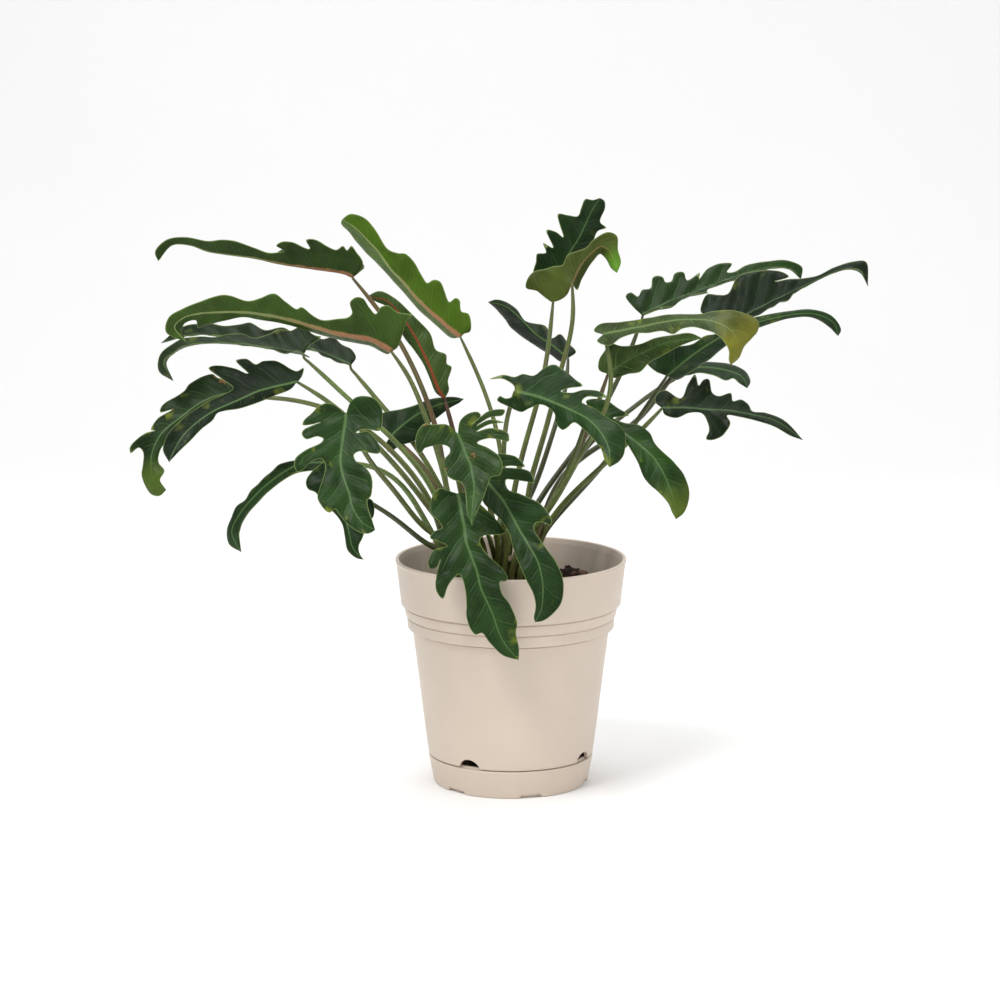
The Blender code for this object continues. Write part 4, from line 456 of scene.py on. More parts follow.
def closed_sheet(P, T, half):
    """Both faces of a sheet and the strip round its margin. half: half thickness, per point."""
    n = normals(P, T)
    half = np.broadcast_to(half, (len(P),))[:, None]
    V = np.vstack([P + n * half, P - n * half])
    k = len(P)
    faces = [list(t) for t in T] + [[t[0] + k, t[2] + k, t[1] + k] for t in T]
    edges = {}
    for t in T:
        for a, b in ((t[0], t[1]), (t[1], t[2]), (t[2], t[0])):
            edges[(a, b)] = edges.get((a, b), 0) + 1
    rim = [(a, b) for (a, b) in edges if (b, a) not in edges]
    for a, b in rim:
        faces += [[b, a, a + k], [b, a + k, b + k]]
    return V, faces


def stem_slot(leaf_name):
    """Where a stalk starts: the stalks of one stem stand round it in the order of their bearings."""
    stem = LEAVES[leaf_name]["stem"]
    cx, cy = STEMS[stem]
    group = []
    for name, lf in LEAVES.items():
        if lf["stem"] == stem:
            u, v = lf["m"][0]
            e = at(u, v, lf["y"][0])
            group.append((math.atan2(e[1] - cy, e[0] - cx), name))
    group.sort()
    i = [g[1] for g in group].index(leaf_name)
    a = STEM_TURN[stem] + 2 * math.pi * i / len(group)
    return np.array([cx + STALK_RING * math.cos(a), cy + STALK_RING * math.sin(a), CROWN_Z]), a


def stalk_path(name):
    """The stalk's centre line, from the crown to just under its blade."""
    lf = LEAVES[name]
    p0, a = stem_slot(name)
    u1, v1 = lf["m"][0]
    end = at(u1, v1, lf["y"][0])
    pts = [p0, p0 + np.array([.10 * math.cos(a), .10 * math.sin(a), 1]) * STALK_RISE]
    way = lf["p"]
    chain = np.array([(480.0, 560.0)] + [w[:2] for w in way] + [(u1, v1)])
    q = along(chain) / along(chain)[-1]
    for w, f in zip(way, q[1:-1]):
        y = w[2] if len(w) > 2 else pts[1][1] + (lf["y"][0] - pts[1][1]) * f
        c = at(w[0], w[1], y)
        if c[2] > pts[1][2] + .008:
            pts.append(c)
    back = lf.get("e", 1 if lf["top"] else -1)   # it joins the blade's underside
    low = -.0008 if back else -STALK_END_GAP
    pts.append(end + np.array([0, back * STALK_END_GAP, low]))
    return smooth(pts, STALK_STEP)


def stalk_paths(rounds=60):
    """All stalks' centre lines. Each leans clear of the other stalks and of the blades it passes."""
    names = list(LEAVES)
    paths = [stalk_path(n) for n in names]
    radii = [stalk_radii(p) for p in paths]
    X, R = np.vstack(paths), np.concatenate(radii)
    own = np.concatenate([[i] * len(p) for i, p in enumerate(paths)])
    first = np.concatenate([[0], np.cumsum([len(p) for p in paths])])
    held = np.zeros(len(X), bool)
    tail = np.zeros(len(X), bool)
    for i, p in enumerate(paths):
        held[first[i]:first[i] + 3] = True
        held[first[i + 1] - 1] = True
        tail[first[i + 1] - 4:first[i + 1]] = True
    B, bo = [], []
    for i, n in enumerate(names):
        P, T, _, _ = blade_sheet(LEAVES[n], 7.0, 5.0)
        c = P[T].mean(1)
        B += [P, c]
        bo += [i] * (len(P) + len(c))
    B, bo = np.vstack(B), np.array(bo)
    blades = KDTree(len(B))
    for i, c in enumerate(B):
        blades.insert(c, i)
    blades.balance()
    reach = R.max()
    for k in range(rounds):
        move = np.zeros_like(X)
        others = KDTree(len(X))
        for i, c in enumerate(X):
            others.insert(c, i)
        others.balance()
        for i, c in enumerate(X):
            if held[i]:
                continue
            for tree, limit, part in ((others, R[i] + reach + STALK_CLEAR, .5), (blades, R[i] + BLADE_CLEAR, .8)):
                total, hits = np.zeros(3), 0
                for co, j, dist in tree.find_range(c, limit):
                    if tree is others:
                        need = R[i] + R[j] + STALK_CLEAR
                        if own[j] == own[i] or dist >= need:
                            continue
                    else:
                        need = limit
                        if bo[j] == own[i] and tail[i]:
                            continue
                    total += (c - np.array(co)) / max(dist, 1e-9) * (need - dist) * part
                    hits += 1
                if hits:
                    move[i] += total / hits
        move[held] = 0
        X = X + move
        soft = X.copy()
        for i in range(len(paths)):
            a, b = first[i], first[i + 1]
            soft[a + 1:b - 1] = X[a + 1:b - 1] * .7 + (X[a:b - 2] + X[a + 2:b]) * .15
        if k < rounds - 6:
            X = np.where(held[:, None], X, soft)
    return {n: X[first[i]:first[i + 1]] for i, n in enumerate(names)}


def tube(path, radii, sides):
    """A closed tube with flat ends along a path."""
    path = np.asarray(path)
    n = len(path)
    tan = np.gradient(path, axis=0)
    tan /= np.linalg.norm(tan, axis=1)[:, None]
    x = np.cross(tan[0], (0, 1, 0.01))
    x /= np.linalg.norm(x)
    V, F = [], []
    for i in range(n):
        x = x - tan[i] * (x @ tan[i])
        x /= np.linalg.norm(x)
        y = np.cross(tan[i], x)
        for j in range(sides):
            b = 2 * math.pi * j / sides
            V.append(path[i] + radii[i] * (x * math.cos(b) + y * math.sin(b)))
    for i in range(n - 1):
        for j in range(sides):
            a, b = i * sides + j, i * sides + (j + 1) % sides
            F.append([a, b, b + sides, a + sides])
    F.append([j for j in range(sides)][::-1])
    F.append([(n - 1) * sides + j for j in range(sides)])
    return np.array(V), F


def stalk_radii(path):
    q = along(path)
    q = q / q[-1]
    return np.interp(q, [0, .12, .4, 1], [STALK_R0, STALK_R0 * .92, STALK_R0 * .74, STALK_R1])


# ---- node helpers ----------------------------------------------------------------------------------
class Net:
    def __init__(self, name):
        self.mat = bpy.data.materials.new(name)
        self.mat.use_nodes = True
        self.t = self.mat.node_tree
        self.b = self.t.nodes["Principled BSDF"]

    def put(self, sock, v):
        if hasattr(v, "is_output") or hasattr(v, "links"):
            self.t.links.new(v, sock)
        elif isinstance(v, (tuple, list)) and len(v) == 3 and sock.type == "RGBA":
            sock.default_value = (*v, 1)
        else:
            sock.default_value = v

    def m(self, op, a, b=0.0, c=0.0, clamp=False):
        n = self.t.nodes.new("ShaderNodeMath")
        n.operation = op
        n.use_clamp = clamp
        for i, v in enumerate((a, b, c)):
            self.put(n.inputs[i], v)
        return n.outputs[0]

    def mix(self, f, a, b):
        n = self.t.nodes.new("ShaderNodeMix")
        n.data_type = "RGBA"
        self.put(n.inputs[0], f)
        self.put(n.inputs[6], a)
        self.put(n.inputs[7], b)
        return n.outputs[2]

    def attr(self, name):
        n = self.t.nodes.new("ShaderNodeAttribute")
        n.attribute_name = name
        return n.outputs["Fac"]

    def obj(self):
        return self.t.nodes.new("ShaderNodeTexCoord").outputs["Object"]

    def noise(self, scale, detail=3, rough=.55, vec=None, dist=0.0):
        n = self.t.nodes.new("ShaderNodeTexNoise")
        n.inputs["Scale"].default_value = scale
        n.inputs["Detail"].default_value = detail
        n.inputs["Roughness"].default_value = rough
        n.inputs["Distortion"].default_value = dist
        self.t.links.new(vec if vec is not None else self.obj(), n.inputs["Vector"])
        return n.outputs["Fac"]

    def voronoi(self, scale, vec=None, feature="F1"):
        n = self.t.nodes.new("ShaderNodeTexVoronoi")
        n.feature = feature
        n.inputs["Scale"].default_value = scale
        self.t.links.new(vec if vec is not None else self.obj(), n.inputs["Vector"])
        return n.outputs["Distance"]

    def ramp(self, f, stops):
        n = self.t.nodes.new("ShaderNodeValToRGB")
        e = n.color_ramp.elements
        while len(e) < len(stops):
            e.new(.5)
        for el, (p, c) in zip(e, stops):
            el.position = p
            el.color = (*c, 1) if isinstance(c, tuple) else (c, c, c, 1)
        self.put(n.inputs[0], f)
        return n.outputs[0]

    def step(self, v, lo, hi):
        n = self.t.nodes.new("ShaderNodeMapRange")
        n.interpolation_type = "SMOOTHSTEP"
        self.put(n.inputs[0], v)
        n.inputs[1].default_value, n.inputs[2].default_value = lo, hi
        return n.outputs[0]

    def combine(self, x, y, z):
        n = self.t.nodes.new("ShaderNodeCombineXYZ")
        for i, v in enumerate((x, y, z)):
            self.put(n.inputs[i], v)
        return n.outputs[0]

    def bump(self, h, strength, dist):
        n = self.t.nodes.new("ShaderNodeBump")
        n.inputs["Strength"].default_value = strength
        n.inputs["Distance"].default_value = dist
        self.put(n.inputs["Height"], h)
        self.t.links.new(n.outputs[0], self.b.inputs["Normal"])

    def out(self, colour, rough, **sockets):
        self.put(self.b.inputs["Base Color"], colour)
        self.put(self.b.inputs["Roughness"], rough)
        for k, v in sockets.items():
            self.b.inputs[k.replace("_", " ")].default_value = v
        return self.mat


VEIN_GAP = 21.0           # millimetres along the midrib between side veins
VEIN_LEAN = .80           # how far a side vein runs towards the tip per millimetre outwards


def leaf_material(name, top, under, rib, vein, under_rib, tip=None, tip_from=.8, yellow=.5, brown=0.0, seed=0.0, fat=1.0):
    n = Net(name)
    s, w, e, up, q = (n.attr(k) for k in ("s_mm", "w_mm", "edge_mm", "upper", "along"))
    aw = n.m("ABSOLUTE", w)
    flat = n.combine(n.m("MULTIPLY", s, .01), n.m("MULTIPLY", w, .01), seed)
    # side veins: straight lines leaving the midrib, a little wavy
    wob = n.m("MULTIPLY", n.m("SUBTRACT", n.noise(9, 2, vec=flat), .5), 5.0)
    u = n.m("ADD", n.m("SUBTRACT", s, n.m("MULTIPLY", aw, VEIN_LEAN)), wob)
    u = n.m("DIVIDE", n.m("ADD", u, n.m("MULTIPLY", n.m("SIGN", w), 2.5)), VEIN_GAP)
    d = n.m("MULTIPLY", n.m("ABSOLUTE", n.m("SUBTRACT", n.m("FRACT", n.m("ADD", u, 50.0)), .5)), VEIN_GAP)
    side = n.m("SUBTRACT", 1.0, n.step(d, .18, .80))
    side = n.m("MULTIPLY", side, n.step(e, 1.0, 6.0))
    d2 = n.m("ABSOLUTE", n.m("SUBTRACT", n.m("FRACT", n.m("ADD", n.m("MULTIPLY", u, 5.0), 80.0)), .5))
    thin = n.m("MULTIPLY", n.m("SUBTRACT", 1.0, n.step(d2, .03, .16)), .26)
    net = n.voronoi(42, vec=flat, feature="DISTANCE_TO_EDGE")
    net = n.m("MULTIPLY", n.m("SUBTRACT", 1.0, n.step(net, .01, .09)), .16)
    ribw = n.m("SUBTRACT", 1.25 * fat, n.m("MULTIPLY", q, 1.25 * fat - .35))
    mid = n.m("SUBTRACT", 1.0, n.step(n.m("DIVIDE", aw, ribw), .45, 1.05))
    # upper face
    cloud = n.noise(4.2, 4, vec=flat)
    fine = n.noise(60, 3, vec=flat)
    dark = tuple(c * .62 for c in top)
    light = (top[0] * 1.6 + .001, top[1] * 1.4 + .002, top[2] * 1.35 + .001)
    c1 = n.mix(n.step(cloud, .32, .68), dark, light)
    c1 = n.mix(n.m("MULTIPLY", n.step(fine, .45, .75), .18), c1, tuple(min(1, c * 1.9 + .004) for c in top))
    near = n.m("SUBTRACT", 1.0, n.step(aw, .5, 7.0))
    c1 = n.mix(n.m("MULTIPLY", near, .22), c1, vein)
    c1 = n.mix(n.m("MAXIMUM", n.m("MULTIPLY", side, .85), n.m("MAXIMUM", thin, net)), c1, vein)
    c1 = n.mix(n.m("MULTIPLY", mid, .88), c1, rib)
    blot = n.m("MULTIPLY", n.step(n.noise(5.5, 2, vec=n.combine(n.m("MULTIPLY", s, .012), n.m("MULTIPLY", w, .012), seed + 4.0)), .60, .74),
               n.m("SUBTRACT", 1.0, n.step(e, 1.0, 9.0)))
    c1 = n.mix(n.m("MULTIPLY", blot, yellow), c1, (.16, .20, .02))
    # lower face: the underside's own paler green, brightened as painted light shining through the blade
    lower_face_with_painted_light = n.mix(n.step(cloud, .3, .7), tuple(c * .75 for c in under), tuple(c * 1.22 for c in under))
    lower_face_with_painted_light = n.mix(n.m("MAXIMUM", n.m("MULTIPLY", side, .45), n.m("MAXIMUM", thin, net)), lower_face_with_painted_light, tuple(min(1, c * 1.7 + .01) for c in under))
    if under_rib is PINK:
        under_rib = n.mix(n.step(q, .12, .62), PINK, (.22, .27, .10))
    lower_face_with_painted_light = n.mix(n.m("MULTIPLY", mid, .92), lower_face_with_painted_light, under_rib)
    c = n.mix(up, lower_face_with_painted_light, c1)
    if tip:
        f = n.step(n.m("ADD", q, n.m("MULTIPLY", n.m("SUBTRACT", cloud, .5), .25)), tip_from - .12, tip_from + .14)
        c = n.mix(n.m("MULTIPLY", f, .85), c, tip)
    if brown:
        b = n.step(n.noise(7, 3, vec=n.combine(n.m("MULTIPLY", s, .01), n.m("MULTIPLY", w, .01), seed + 9.0)), .66, .70)
        c = n.mix(n.m("MULTIPLY", b, brown), c, (.20, .10, .035))
    # a pale band along the margin: partly the margin's own paler line, partly a painted highlight along the blade's
    # edge
    edge = n.m("SUBTRACT", 1.0, n.step(e, .10, .75))
    edge = n.m("MULTIPLY", edge, n.step(n.m("ADD", aw, e), 2.0, 6.0))
    c = n.mix(n.m("MULTIPLY", edge, .62), c, (.24, .31, .10))
    h = n.m("ADD", n.m("MULTIPLY", side, -.6), n.m("ADD", n.m("MULTIPLY", fine, .25), n.m("MULTIPLY", thin, -.5)))
    n.bump(h, .35, .0006)
    rough = n.m("ADD", n.m("MULTIPLY", n.noise(14, 3, vec=flat), .20), n.m("ADD", n.m("MULTIPLY", up, -.06), .40))
    return n.out(c, rough, Specular_IOR_Level=.13)


def stalk_material(name, green, dark, brown, amount):
    n = Net(name)
    q, a = n.attr("along"), n.attr("turn")
    streak = n.noise(5, 4, vec=n.combine(n.m("MULTIPLY", q, 3.0), n.m("MULTIPLY", a, 2.0), 0.0))
    fleck = n.noise(420, 3)
    c = n.mix(n.step(streak, .35, .65), green, dark)
    c = n.mix(n.m("MULTIPLY", n.step(n.noise(28, 3), .45, .62), amount), c, brown)
    c = n.mix(n.m("MULTIPLY", n.step(fleck, .6, .72), .35), c, tuple(x * 1.8 + .03 for x in green))
    c = n.mix(n.m("MULTIPLY", n.m("SUBTRACT", 1.0, n.step(q, .0, .12)), .6), c, (.055, .035, .014))
    n.bump(n.m("ADD", streak, n.m("MULTIPLY", fleck, .3)), .3, .0004)
    return n.out(c, n.m("ADD", n.m("MULTIPLY", streak, .2), .32), Specular_IOR_Level=.45)


def pot_material(name, tone):
    n = Net(name)
    big, mid, fine = n.noise(7, 4), n.noise(60, 3), n.noise(900, 2)
    c = n.mix(n.step(big, .3, .7), tuple(c * .965 for c in tone), tuple(c * 1.03 for c in tone))
    c = n.mix(n.m("MULTIPLY", n.step(mid, .55, .8), .12), c, tuple(c * .86 for c in tone))
    speck = n.voronoi(260)
    c = n.mix(n.m("MULTIPLY", n.m("SUBTRACT", 1.0, n.step(speck, .04, .10)), .22), c, (.25, .17, .12))
    n.bump(n.m("ADD", fine, n.m("MULTIPLY", mid, .6)), .10, .0003)
    return n.out(c, n.m("ADD", n.m("MULTIPLY", mid, .12), .36), Specular_IOR_Level=.42)


def soil_material(name):
    n = Net(name)
    a, b, f = n.noise(70, 5, .7), n.noise(260, 4, .6), n.voronoi(420)
    c = n.ramp(a, [(.25, (.006, .004, .003)), (.5, (.022, .012, .008)), (.72, (.055, .031, .019)), (.85, (.11, .07, .045))])
    c = n.mix(n.m("MULTIPLY", n.step(b, .62, .72), .55), c, (.15, .10, .065))
    c = n.mix(n.m("MULTIPLY", n.m("SUBTRACT", 1.0, n.step(f, .05, .14)), .5), c, (.004, .003, .002))
    n.bump(n.m("ADD", a, n.m("MULTIPLY", b, .8)), .9, .002)
    return n.out(c, n.m("ADD", n.m("MULTIPLY", b, .15), .82), Specular_IOR_Level=.25)


def bark_material(name, tone):
    n = Net(name)
    a = n.noise(180, 4, .7)
    c = n.mix(n.step(a, .35, .65), tuple(c * .45 for c in tone), tuple(c * 1.35 for c in tone))
    n.bump(a, .8, .001)
    return n.out(c, n.m("ADD", n.m("MULTIPLY", a, .2), .7), Specular_IOR_Level=.3)


def stem_material(name):
    n = Net(name)
    a, b = n.noise(90, 5, .65), n.noise(400, 3)
    c = n.ramp(a, [(.3, (.035, .022, .012)), (.5, (.10, .075, .035)), (.7, (.16, .17, .06))])
    n.bump(n.m("ADD", a, n.m("MULTIPLY", b, .5)), .7, .001)
    return n.out(c, n.m("ADD", n.m("MULTIPLY", b, .2), .6))


# ---- meshes -----------------------------------------------------------------------------------------
def mesh_object(name, V, F, mat, attrs=None, auto=None):
    me = bpy.data.meshes.new(name)
    me.from_pydata([tuple(map(float, v)) for v in V], [], [[int(i) for i in f] for f in F])
    me.update()
    me.shade_smooth()
    if auto:
        me.set_sharp_from_angle(angle=auto)
    for k, v in (attrs or {}).items():
        me.attributes.new(k, "FLOAT", "POINT").data.foreach_set("value", np.asarray(v, np.float32))
    me.materials.append(mat)
    ob = bpy.data.objects.new(name, me)
    bpy.context.scene.collection.objects.link(ob)
    return ob


def enrol(ob, node):
    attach(ob, "root")
    if node:
        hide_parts(node)


def fix(ob):
    bm = bmesh.new()
    bm.from_mesh(ob.data)
    bmesh.ops.recalc_face_normals(bm, faces=bm.faces)
    bm.to_mesh(ob.data)
    bm.free()


RUFFLE = {"u": 2.2, "v": 2.0, "j": 1.6, "y": 1.8, "p": 1.8, "n2": 1.5, "q": 1.4}


def blade(name, leaf, mat, seed):
    P, T, SW, E = blade_sheet(leaf, FINE, FINE * .8)
    mm = UNIT * 1000
    s, w, e = SW[:, 0] * mm, SW[:, 1] * mm, E * mm
    total = max(s.max(), 1)
    q = np.clip(s / total, 0, 1)
    n = normals(P, T)
    aw = np.abs(w)
    u = (s - aw * VEIN_LEAN + np.sign(w) * 2.5) / VEIN_GAP + .5
    away = np.clip(aw / 5, 0, 1) * np.clip(e / 4, 0, 1)
    lift = -.00085 * np.cos(2 * math.pi * u) * away
    lift += -.00045 * np.exp(-(aw / 1.6) ** 2) * (1 - .7 * q)
    wave = np.sin(2 * math.pi * (s / 31 + seed * .37)) * .6 + np.sin(2 * math.pi * (s / 17 + seed * .71 + np.sign(w) * .3)) * .4
    lift += .0013 * RUFFLE.get(name, 1.0) * wave * np.clip(aw / 22, 0, 1) ** 1.5
    top_side = 1.0 if leaf["top"] else -1.0
    half = .00030 * np.clip(.45 + e / 2.5, .45, 1) + .00060 * np.exp(-(aw / 1.5) ** 2) * (1 - .8 * q)
    P = P + n * (lift * top_side)[:, None]
    V, F = closed_sheet(P, T, half)
    k = len(P)
    front, back = (1.0, 0.0) if leaf["top"] else (0.0, 1.0)
    at2 = lambda a: np.concatenate([a, a])
    ob = mesh_object("v_leaf_" + name, V, F, mat, {"s_mm": at2(s), "w_mm": at2(w), "edge_mm": at2(e), "along": at2(q),
                     "upper": np.concatenate([np.full(k, front), np.full(k, back)])})
    enrol(ob, "leaf_" + name)


SLIM = {"c": .84, "s": .88}


def stalk(name, leaf, path, mat):
    base = at(*leaf["m"][0], leaf["y"][0])
    nxt = at(*leaf["m"][1], np.interp(.15, [0, .5], leaf["y"][:2]))
    d = nxt - base
    d /= np.linalg.norm(d)
    pts = np.vstack([path, base + d * .001])
    pts = smooth(pts, .0028)
    q = along(pts)
    total = q[-1]
    q = q / total
    r = np.interp(q, [0, .10, .35, .9, 1], [STALK_R0 * 1.10, STALK_R0 * 1.03, STALK_R0 * .88, STALK_R1 * 1.15, STALK_R1 * .6])
    r = r * SLIM.get(name, 1.0)
    V, F = tube(pts, r, 12)
    idx = np.arange(len(V)) % 12
    ob = mesh_object("v_stalk_" + name, V, F, mat, {"along": np.repeat(q, 12), "turn": idx / 12.0})
    fix(ob)
    enrol(ob, "stalk_" + name)


def fillet(profile, r, keep=()):
    out = []
    n = len(profile)
    for i, p in enumerate(profile):
        a, b, c = (np.array(profile[j % n], float) for j in (i - 1, i, i + 1))
        la, lc = np.linalg.norm(a - b), np.linalg.norm(c - b)
        if b[0] < 1e-6:
            out.append(tuple(b))
            continue
        k = min(r, la * .4, lc * .4)
        p0, p1 = b + (a - b) / la * k, b + (c - b) / lc * k
        for t in (0, .33, .67, 1):
            out.append(tuple((1 - t) ** 2 * p0 + 2 * t * (1 - t) * b + t * t * p1))
    return out


def lathe(profile, seg):
    V, rows = [], []
    for r, z in profile:
        if r < 1e-9:
            rows.append([len(V)] * seg)
            V.append((0, 0, z))
        else:
            rows.append([len(V) + j for j in range(seg)])
            V += [(r * math.cos(2 * math.pi * j / seg), r * math.sin(2 * math.pi * j / seg), z) for j in range(seg)]
    F = []
    for i in range(len(profile)):
        a, b = rows[i], rows[(i + 1) % len(profile)]
        for j in range(seg):
            k = (j + 1) % seg
            f = []
            for p in (a[j], a[k], b[k], b[j]):
                if p not in f:
                    f.append(p)
            if len(f) > 2:
                F.append(f)
    return V, F


POT_OUT = [(.0713, SEAM_Z + .0010), (.0718, .0275), (.0732, .037), (.0852, .1345), (.0854, .1357), (.0846, .1362), (.0846, .1371),
           (.0890, .1373), (.0896, .1380), (.0900, .1462), (.0893, .1468), (.0893, .1475), (.0910, .1479), (.0926, .1560),
           (.0917, .1566), (.0918, .1574), (.0944, .1577), (.0952, .1584), (.0992, .1940), (.1000, .1958), (.0998, .1975),
           (.0986, RIM_Z), (.0970, .1974)]
POT_IN = [(.0962, .1930), (.0925, .1600), (.0888, .1500), (.0868, .1400), (.0832, .1350), (.0709, POT_FLOOR_Z)]
POT_UNDER = [(0, POT_FLOOR_Z), (0, POT_FLOOR_Z - FLOOR_T), (.0690, POT_FLOOR_Z - FLOOR_T), (.0688, SEAM_Z + .0010)]
SAUCER = [(0, 0), (.0620, 0), (BASE_R, 0), (.0673, .0012), (.0716, SEAM_Z - .0008), (.0710, SEAM_Z), (.0684, SEAM_Z),
          (.0683, .0265), (.0655, .0265), (.0628, .0060), (.0600, .0036), (0, .0030)]


def cutter(width, height, r0, r1, z0, angle):
    prof = [(-width / 2, -.004), (width / 2, -.004)]
    prof += [(width / 2 * math.cos(math.pi * i / 20), height * math.sin(math.pi * i / 20)) for i in range(21)]
    n = len(prof)
    c, s = math.cos(angle), math.sin(angle)
    V = [(r * c - t * s, r * s + t * c, z0 + h) for r in (r0, r1) for t, h in prof]
    return V, [[i, (i + 1) % n, n + (i + 1) % n, n + i] for i in range(n)] + [list(range(n))[::-1], list(range(n, 2 * n))]


def make_pot():
    mat = pot_material("pot_plastic", (.585, .495, .41))
    V, F = lathe(fillet(POT_OUT, .00035) + fillet(POT_IN, .0007) + POT_UNDER, 180)
    ob = mesh_object("v_pot", V, F, mat)
    fix(ob)
    CV, CF = [], []
    for i in range(NOTCHES):
        v, f = cutter(NOTCH_W, NOTCH_H, .060, .085, SEAM_Z + GAP, NOTCH_TURN + 2 * math.pi * i / NOTCHES)
        CF += [[k + len(CV) for k in g] for g in f]
        CV += v
    tool = mesh_object("pot_tool", CV, CF, mat)
    fix(tool)
    mod = ob.modifiers.new("cut", "BOOLEAN")
    mod.operation, mod.solver, mod.object = "DIFFERENCE", "EXACT", tool
    dg = bpy.context.evaluated_depsgraph_get()
    me = bpy.data.meshes.new_from_object(ob.evaluated_get(dg))
    ob.modifiers.clear()
    ob.data = me
    bpy.data.objects.remove(tool, do_unlink=True)
    me.shade_smooth()
    me.set_sharp_from_angle(angle=math.radians(32))
    enrol(ob, "pot")
    mat2 = pot_material("saucer_plastic", (.57, .48, .395))
    V, F = lathe(fillet(SAUCER, .0006), 180)
    out = []
    for x, y, z in V:
        if math.hypot(x, y) > .0655 and z < .0022:
            a = (math.atan2(y, x) - FEET_TURN) % (2 * math.pi / FEET_NOTCHES)
            a = min(a, 2 * math.pi / FEET_NOTCHES - a)
            z += .0030 * min(1, max(0, (math.radians(8.5) - a) / math.radians(1.2)))
        out.append((x, y, z))
    ob = mesh_object("v_saucer", out, F, mat2, auto=math.radians(32))
    fix(ob)
    enrol(ob, "saucer")


def soil_height(x, y):
    r = math.hypot(x, y)
    h = SOIL_Z - .0035 * (r / .09) ** 2 + .0030 * noise.noise(Vector((x * 60, y * 60, 3.1))) + .0018 * noise.noise(Vector((x * 150, y * 150, 7.7)))
    near = min(math.hypot(x - c[0], y - c[1]) for c in STEMS.values())
    h += .0125 * math.exp(-((x - .053) ** 2 + (y - .028) ** 2) / .00030) * (1 + .35 * noise.noise(Vector((x * 120, y * 120, 2.0))))
    k = min(1, max(0, (near - .0205) / .012))
    return SOIL_Z + (h - SOIL_Z) * k


def lump(size, flat, seed, sub=1):
    bm = bmesh.new()
    bmesh.ops.create_icosphere(bm, subdivisions=sub, radius=1)
    sx, sy = 1, R.uniform(.5, .9)
    for v in bm.verts:
        g = 1 + .45 * noise.noise(Vector(v.co) * 1.6 + Vector((seed * 3.1, seed, 0)))
        v.co = Vector((v.co.x * sx, v.co.y * sy, v.co.z * flat)) * size * g
    bm.verts.index_update()
    V, F = [v.co.copy() for v in bm.verts], [[v.index for v in f.verts] for f in bm.faces]
    bm.free()
    return V, F


def make_soil():
    mat = soil_material("soil_mix")
    seg, rings = 150, 46
    top_r = .0929
    V, F = [(0, 0, soil_height(0, 0))], []
    for i in range(1, rings + 1):
        r = top_r * i / rings
        for j in range(seg):
            a = 2 * math.pi * (j + .5 * (i % 2)) / seg
            x, y = r * math.cos(a), r * math.sin(a)
            z = soil_height(x, y) if i < rings else SOIL_Z - .0035
            z += .0016 * noise.noise(Vector((x * 330, y * 330, 1.0))) + .0012 * noise.noise(Vector((x * 700, y * 700, 5.0)))
            V.append((x, y, z))
    side = [(.0917, .1600), (.0880, .1500), (.0860, .1400), (.0824, .1350), (.0700, POT_FLOOR_Z + GAP)]
    for r, z in side:
        V += [(r * math.cos(2 * math.pi * j / seg), r * math.sin(2 * math.pi * j / seg), z) for j in range(seg)]
    V.append((0, 0, POT_FLOOR_Z + GAP))
    ring = lambda i: [1 + (i - 1) * seg + j for j in range(seg)]
    a = ring(1)
    F += [[0, a[j], a[(j + 1) % seg]] for j in range(seg)]
    for i in range(1, rings + len(side)):
        a, b = ring(i), ring(i + 1)
        F += [[a[j], b[j], b[(j + 1) % seg], a[(j + 1) % seg]] for j in range(seg)]
    b = ring(rings + len(side))
    F += [[len(V) - 1, b[(j + 1) % seg], b[j]] for j in range(seg)]
    ob = mesh_object("v_soil", V, F, mat)
    fix(ob)
    enrol(ob, "soil")
    sets = (("soil_crumbs", 520, (.0009, .0026), .75, (.035, .020, .013)), ("soil_bark", 120, (.0030, .0068), .42, (.10, .055, .03)),
            ("soil_chips", 90, (.0010, .0021), .8, (.30, .25, .19)))
    for name, count, (lo, hi), flat, tone in sets:
        V, F = [], []
        for k in range(count):
            r = .0885 * math.sqrt(R.random())
            a = R.uniform(0, 2 * math.pi)
            x, y = r * math.cos(a), r * math.sin(a)
            size = R.uniform(lo, hi)
            if r + size > .0895:
                continue
            near = min(math.hypot(x - c[0], y - c[1]) for c in STEMS.values())
            if near < .0195 + size:
                continue
            v, f = lump(size, flat, k * 1.37)
            rz, tilt = R.uniform(0, 6.28), R.uniform(-.5, .5)
            c, s = math.cos(rz), math.sin(rz)
            z = soil_height(x, y) + size * flat * .35
            o = len(V)
            for p in v:
                py, pz = p.y * math.cos(tilt) - p.z * math.sin(tilt), p.y * math.sin(tilt) + p.z * math.cos(tilt)
                V.append((x + p.x * c - py * s, y + p.x * s + py * c, z + pz))
            F += [[i + o for i in g] for g in f]
        ob = mesh_object(name, V, F, bark_material(name + "_m", tone))
        enrol(ob, None)


def make_stems():
    mat = stem_material("stem_bark")
    for k, (cx, cy) in STEMS.items():
        prof = []
        for i in range(31):
            t = i / 30
            r = (.92 + .10 * math.sin(t * 9.5) ** 2) * (1 if t < .8 else math.sqrt(max(0, 1 - ((t - .8) / .2) ** 2)))
            prof.append((max(r, 0) * STEM_R if i not in (30,) else 0, CROWN_Z - .0012 + t * STEM_H))
        V, F = lathe([(0, prof[0][1])] + prof, 48)
        out = []
        for x, y, z in V:
            g = 1 + .10 * noise.noise(Vector((x * 260, y * 260, z * 260 + k)))
            out.append((cx + x * g, cy + y * g, z))
        ob = mesh_object("v_stem_%d" % k, out, F, mat)
        fix(ob)
        enrol(ob, "stem_%d" % k)
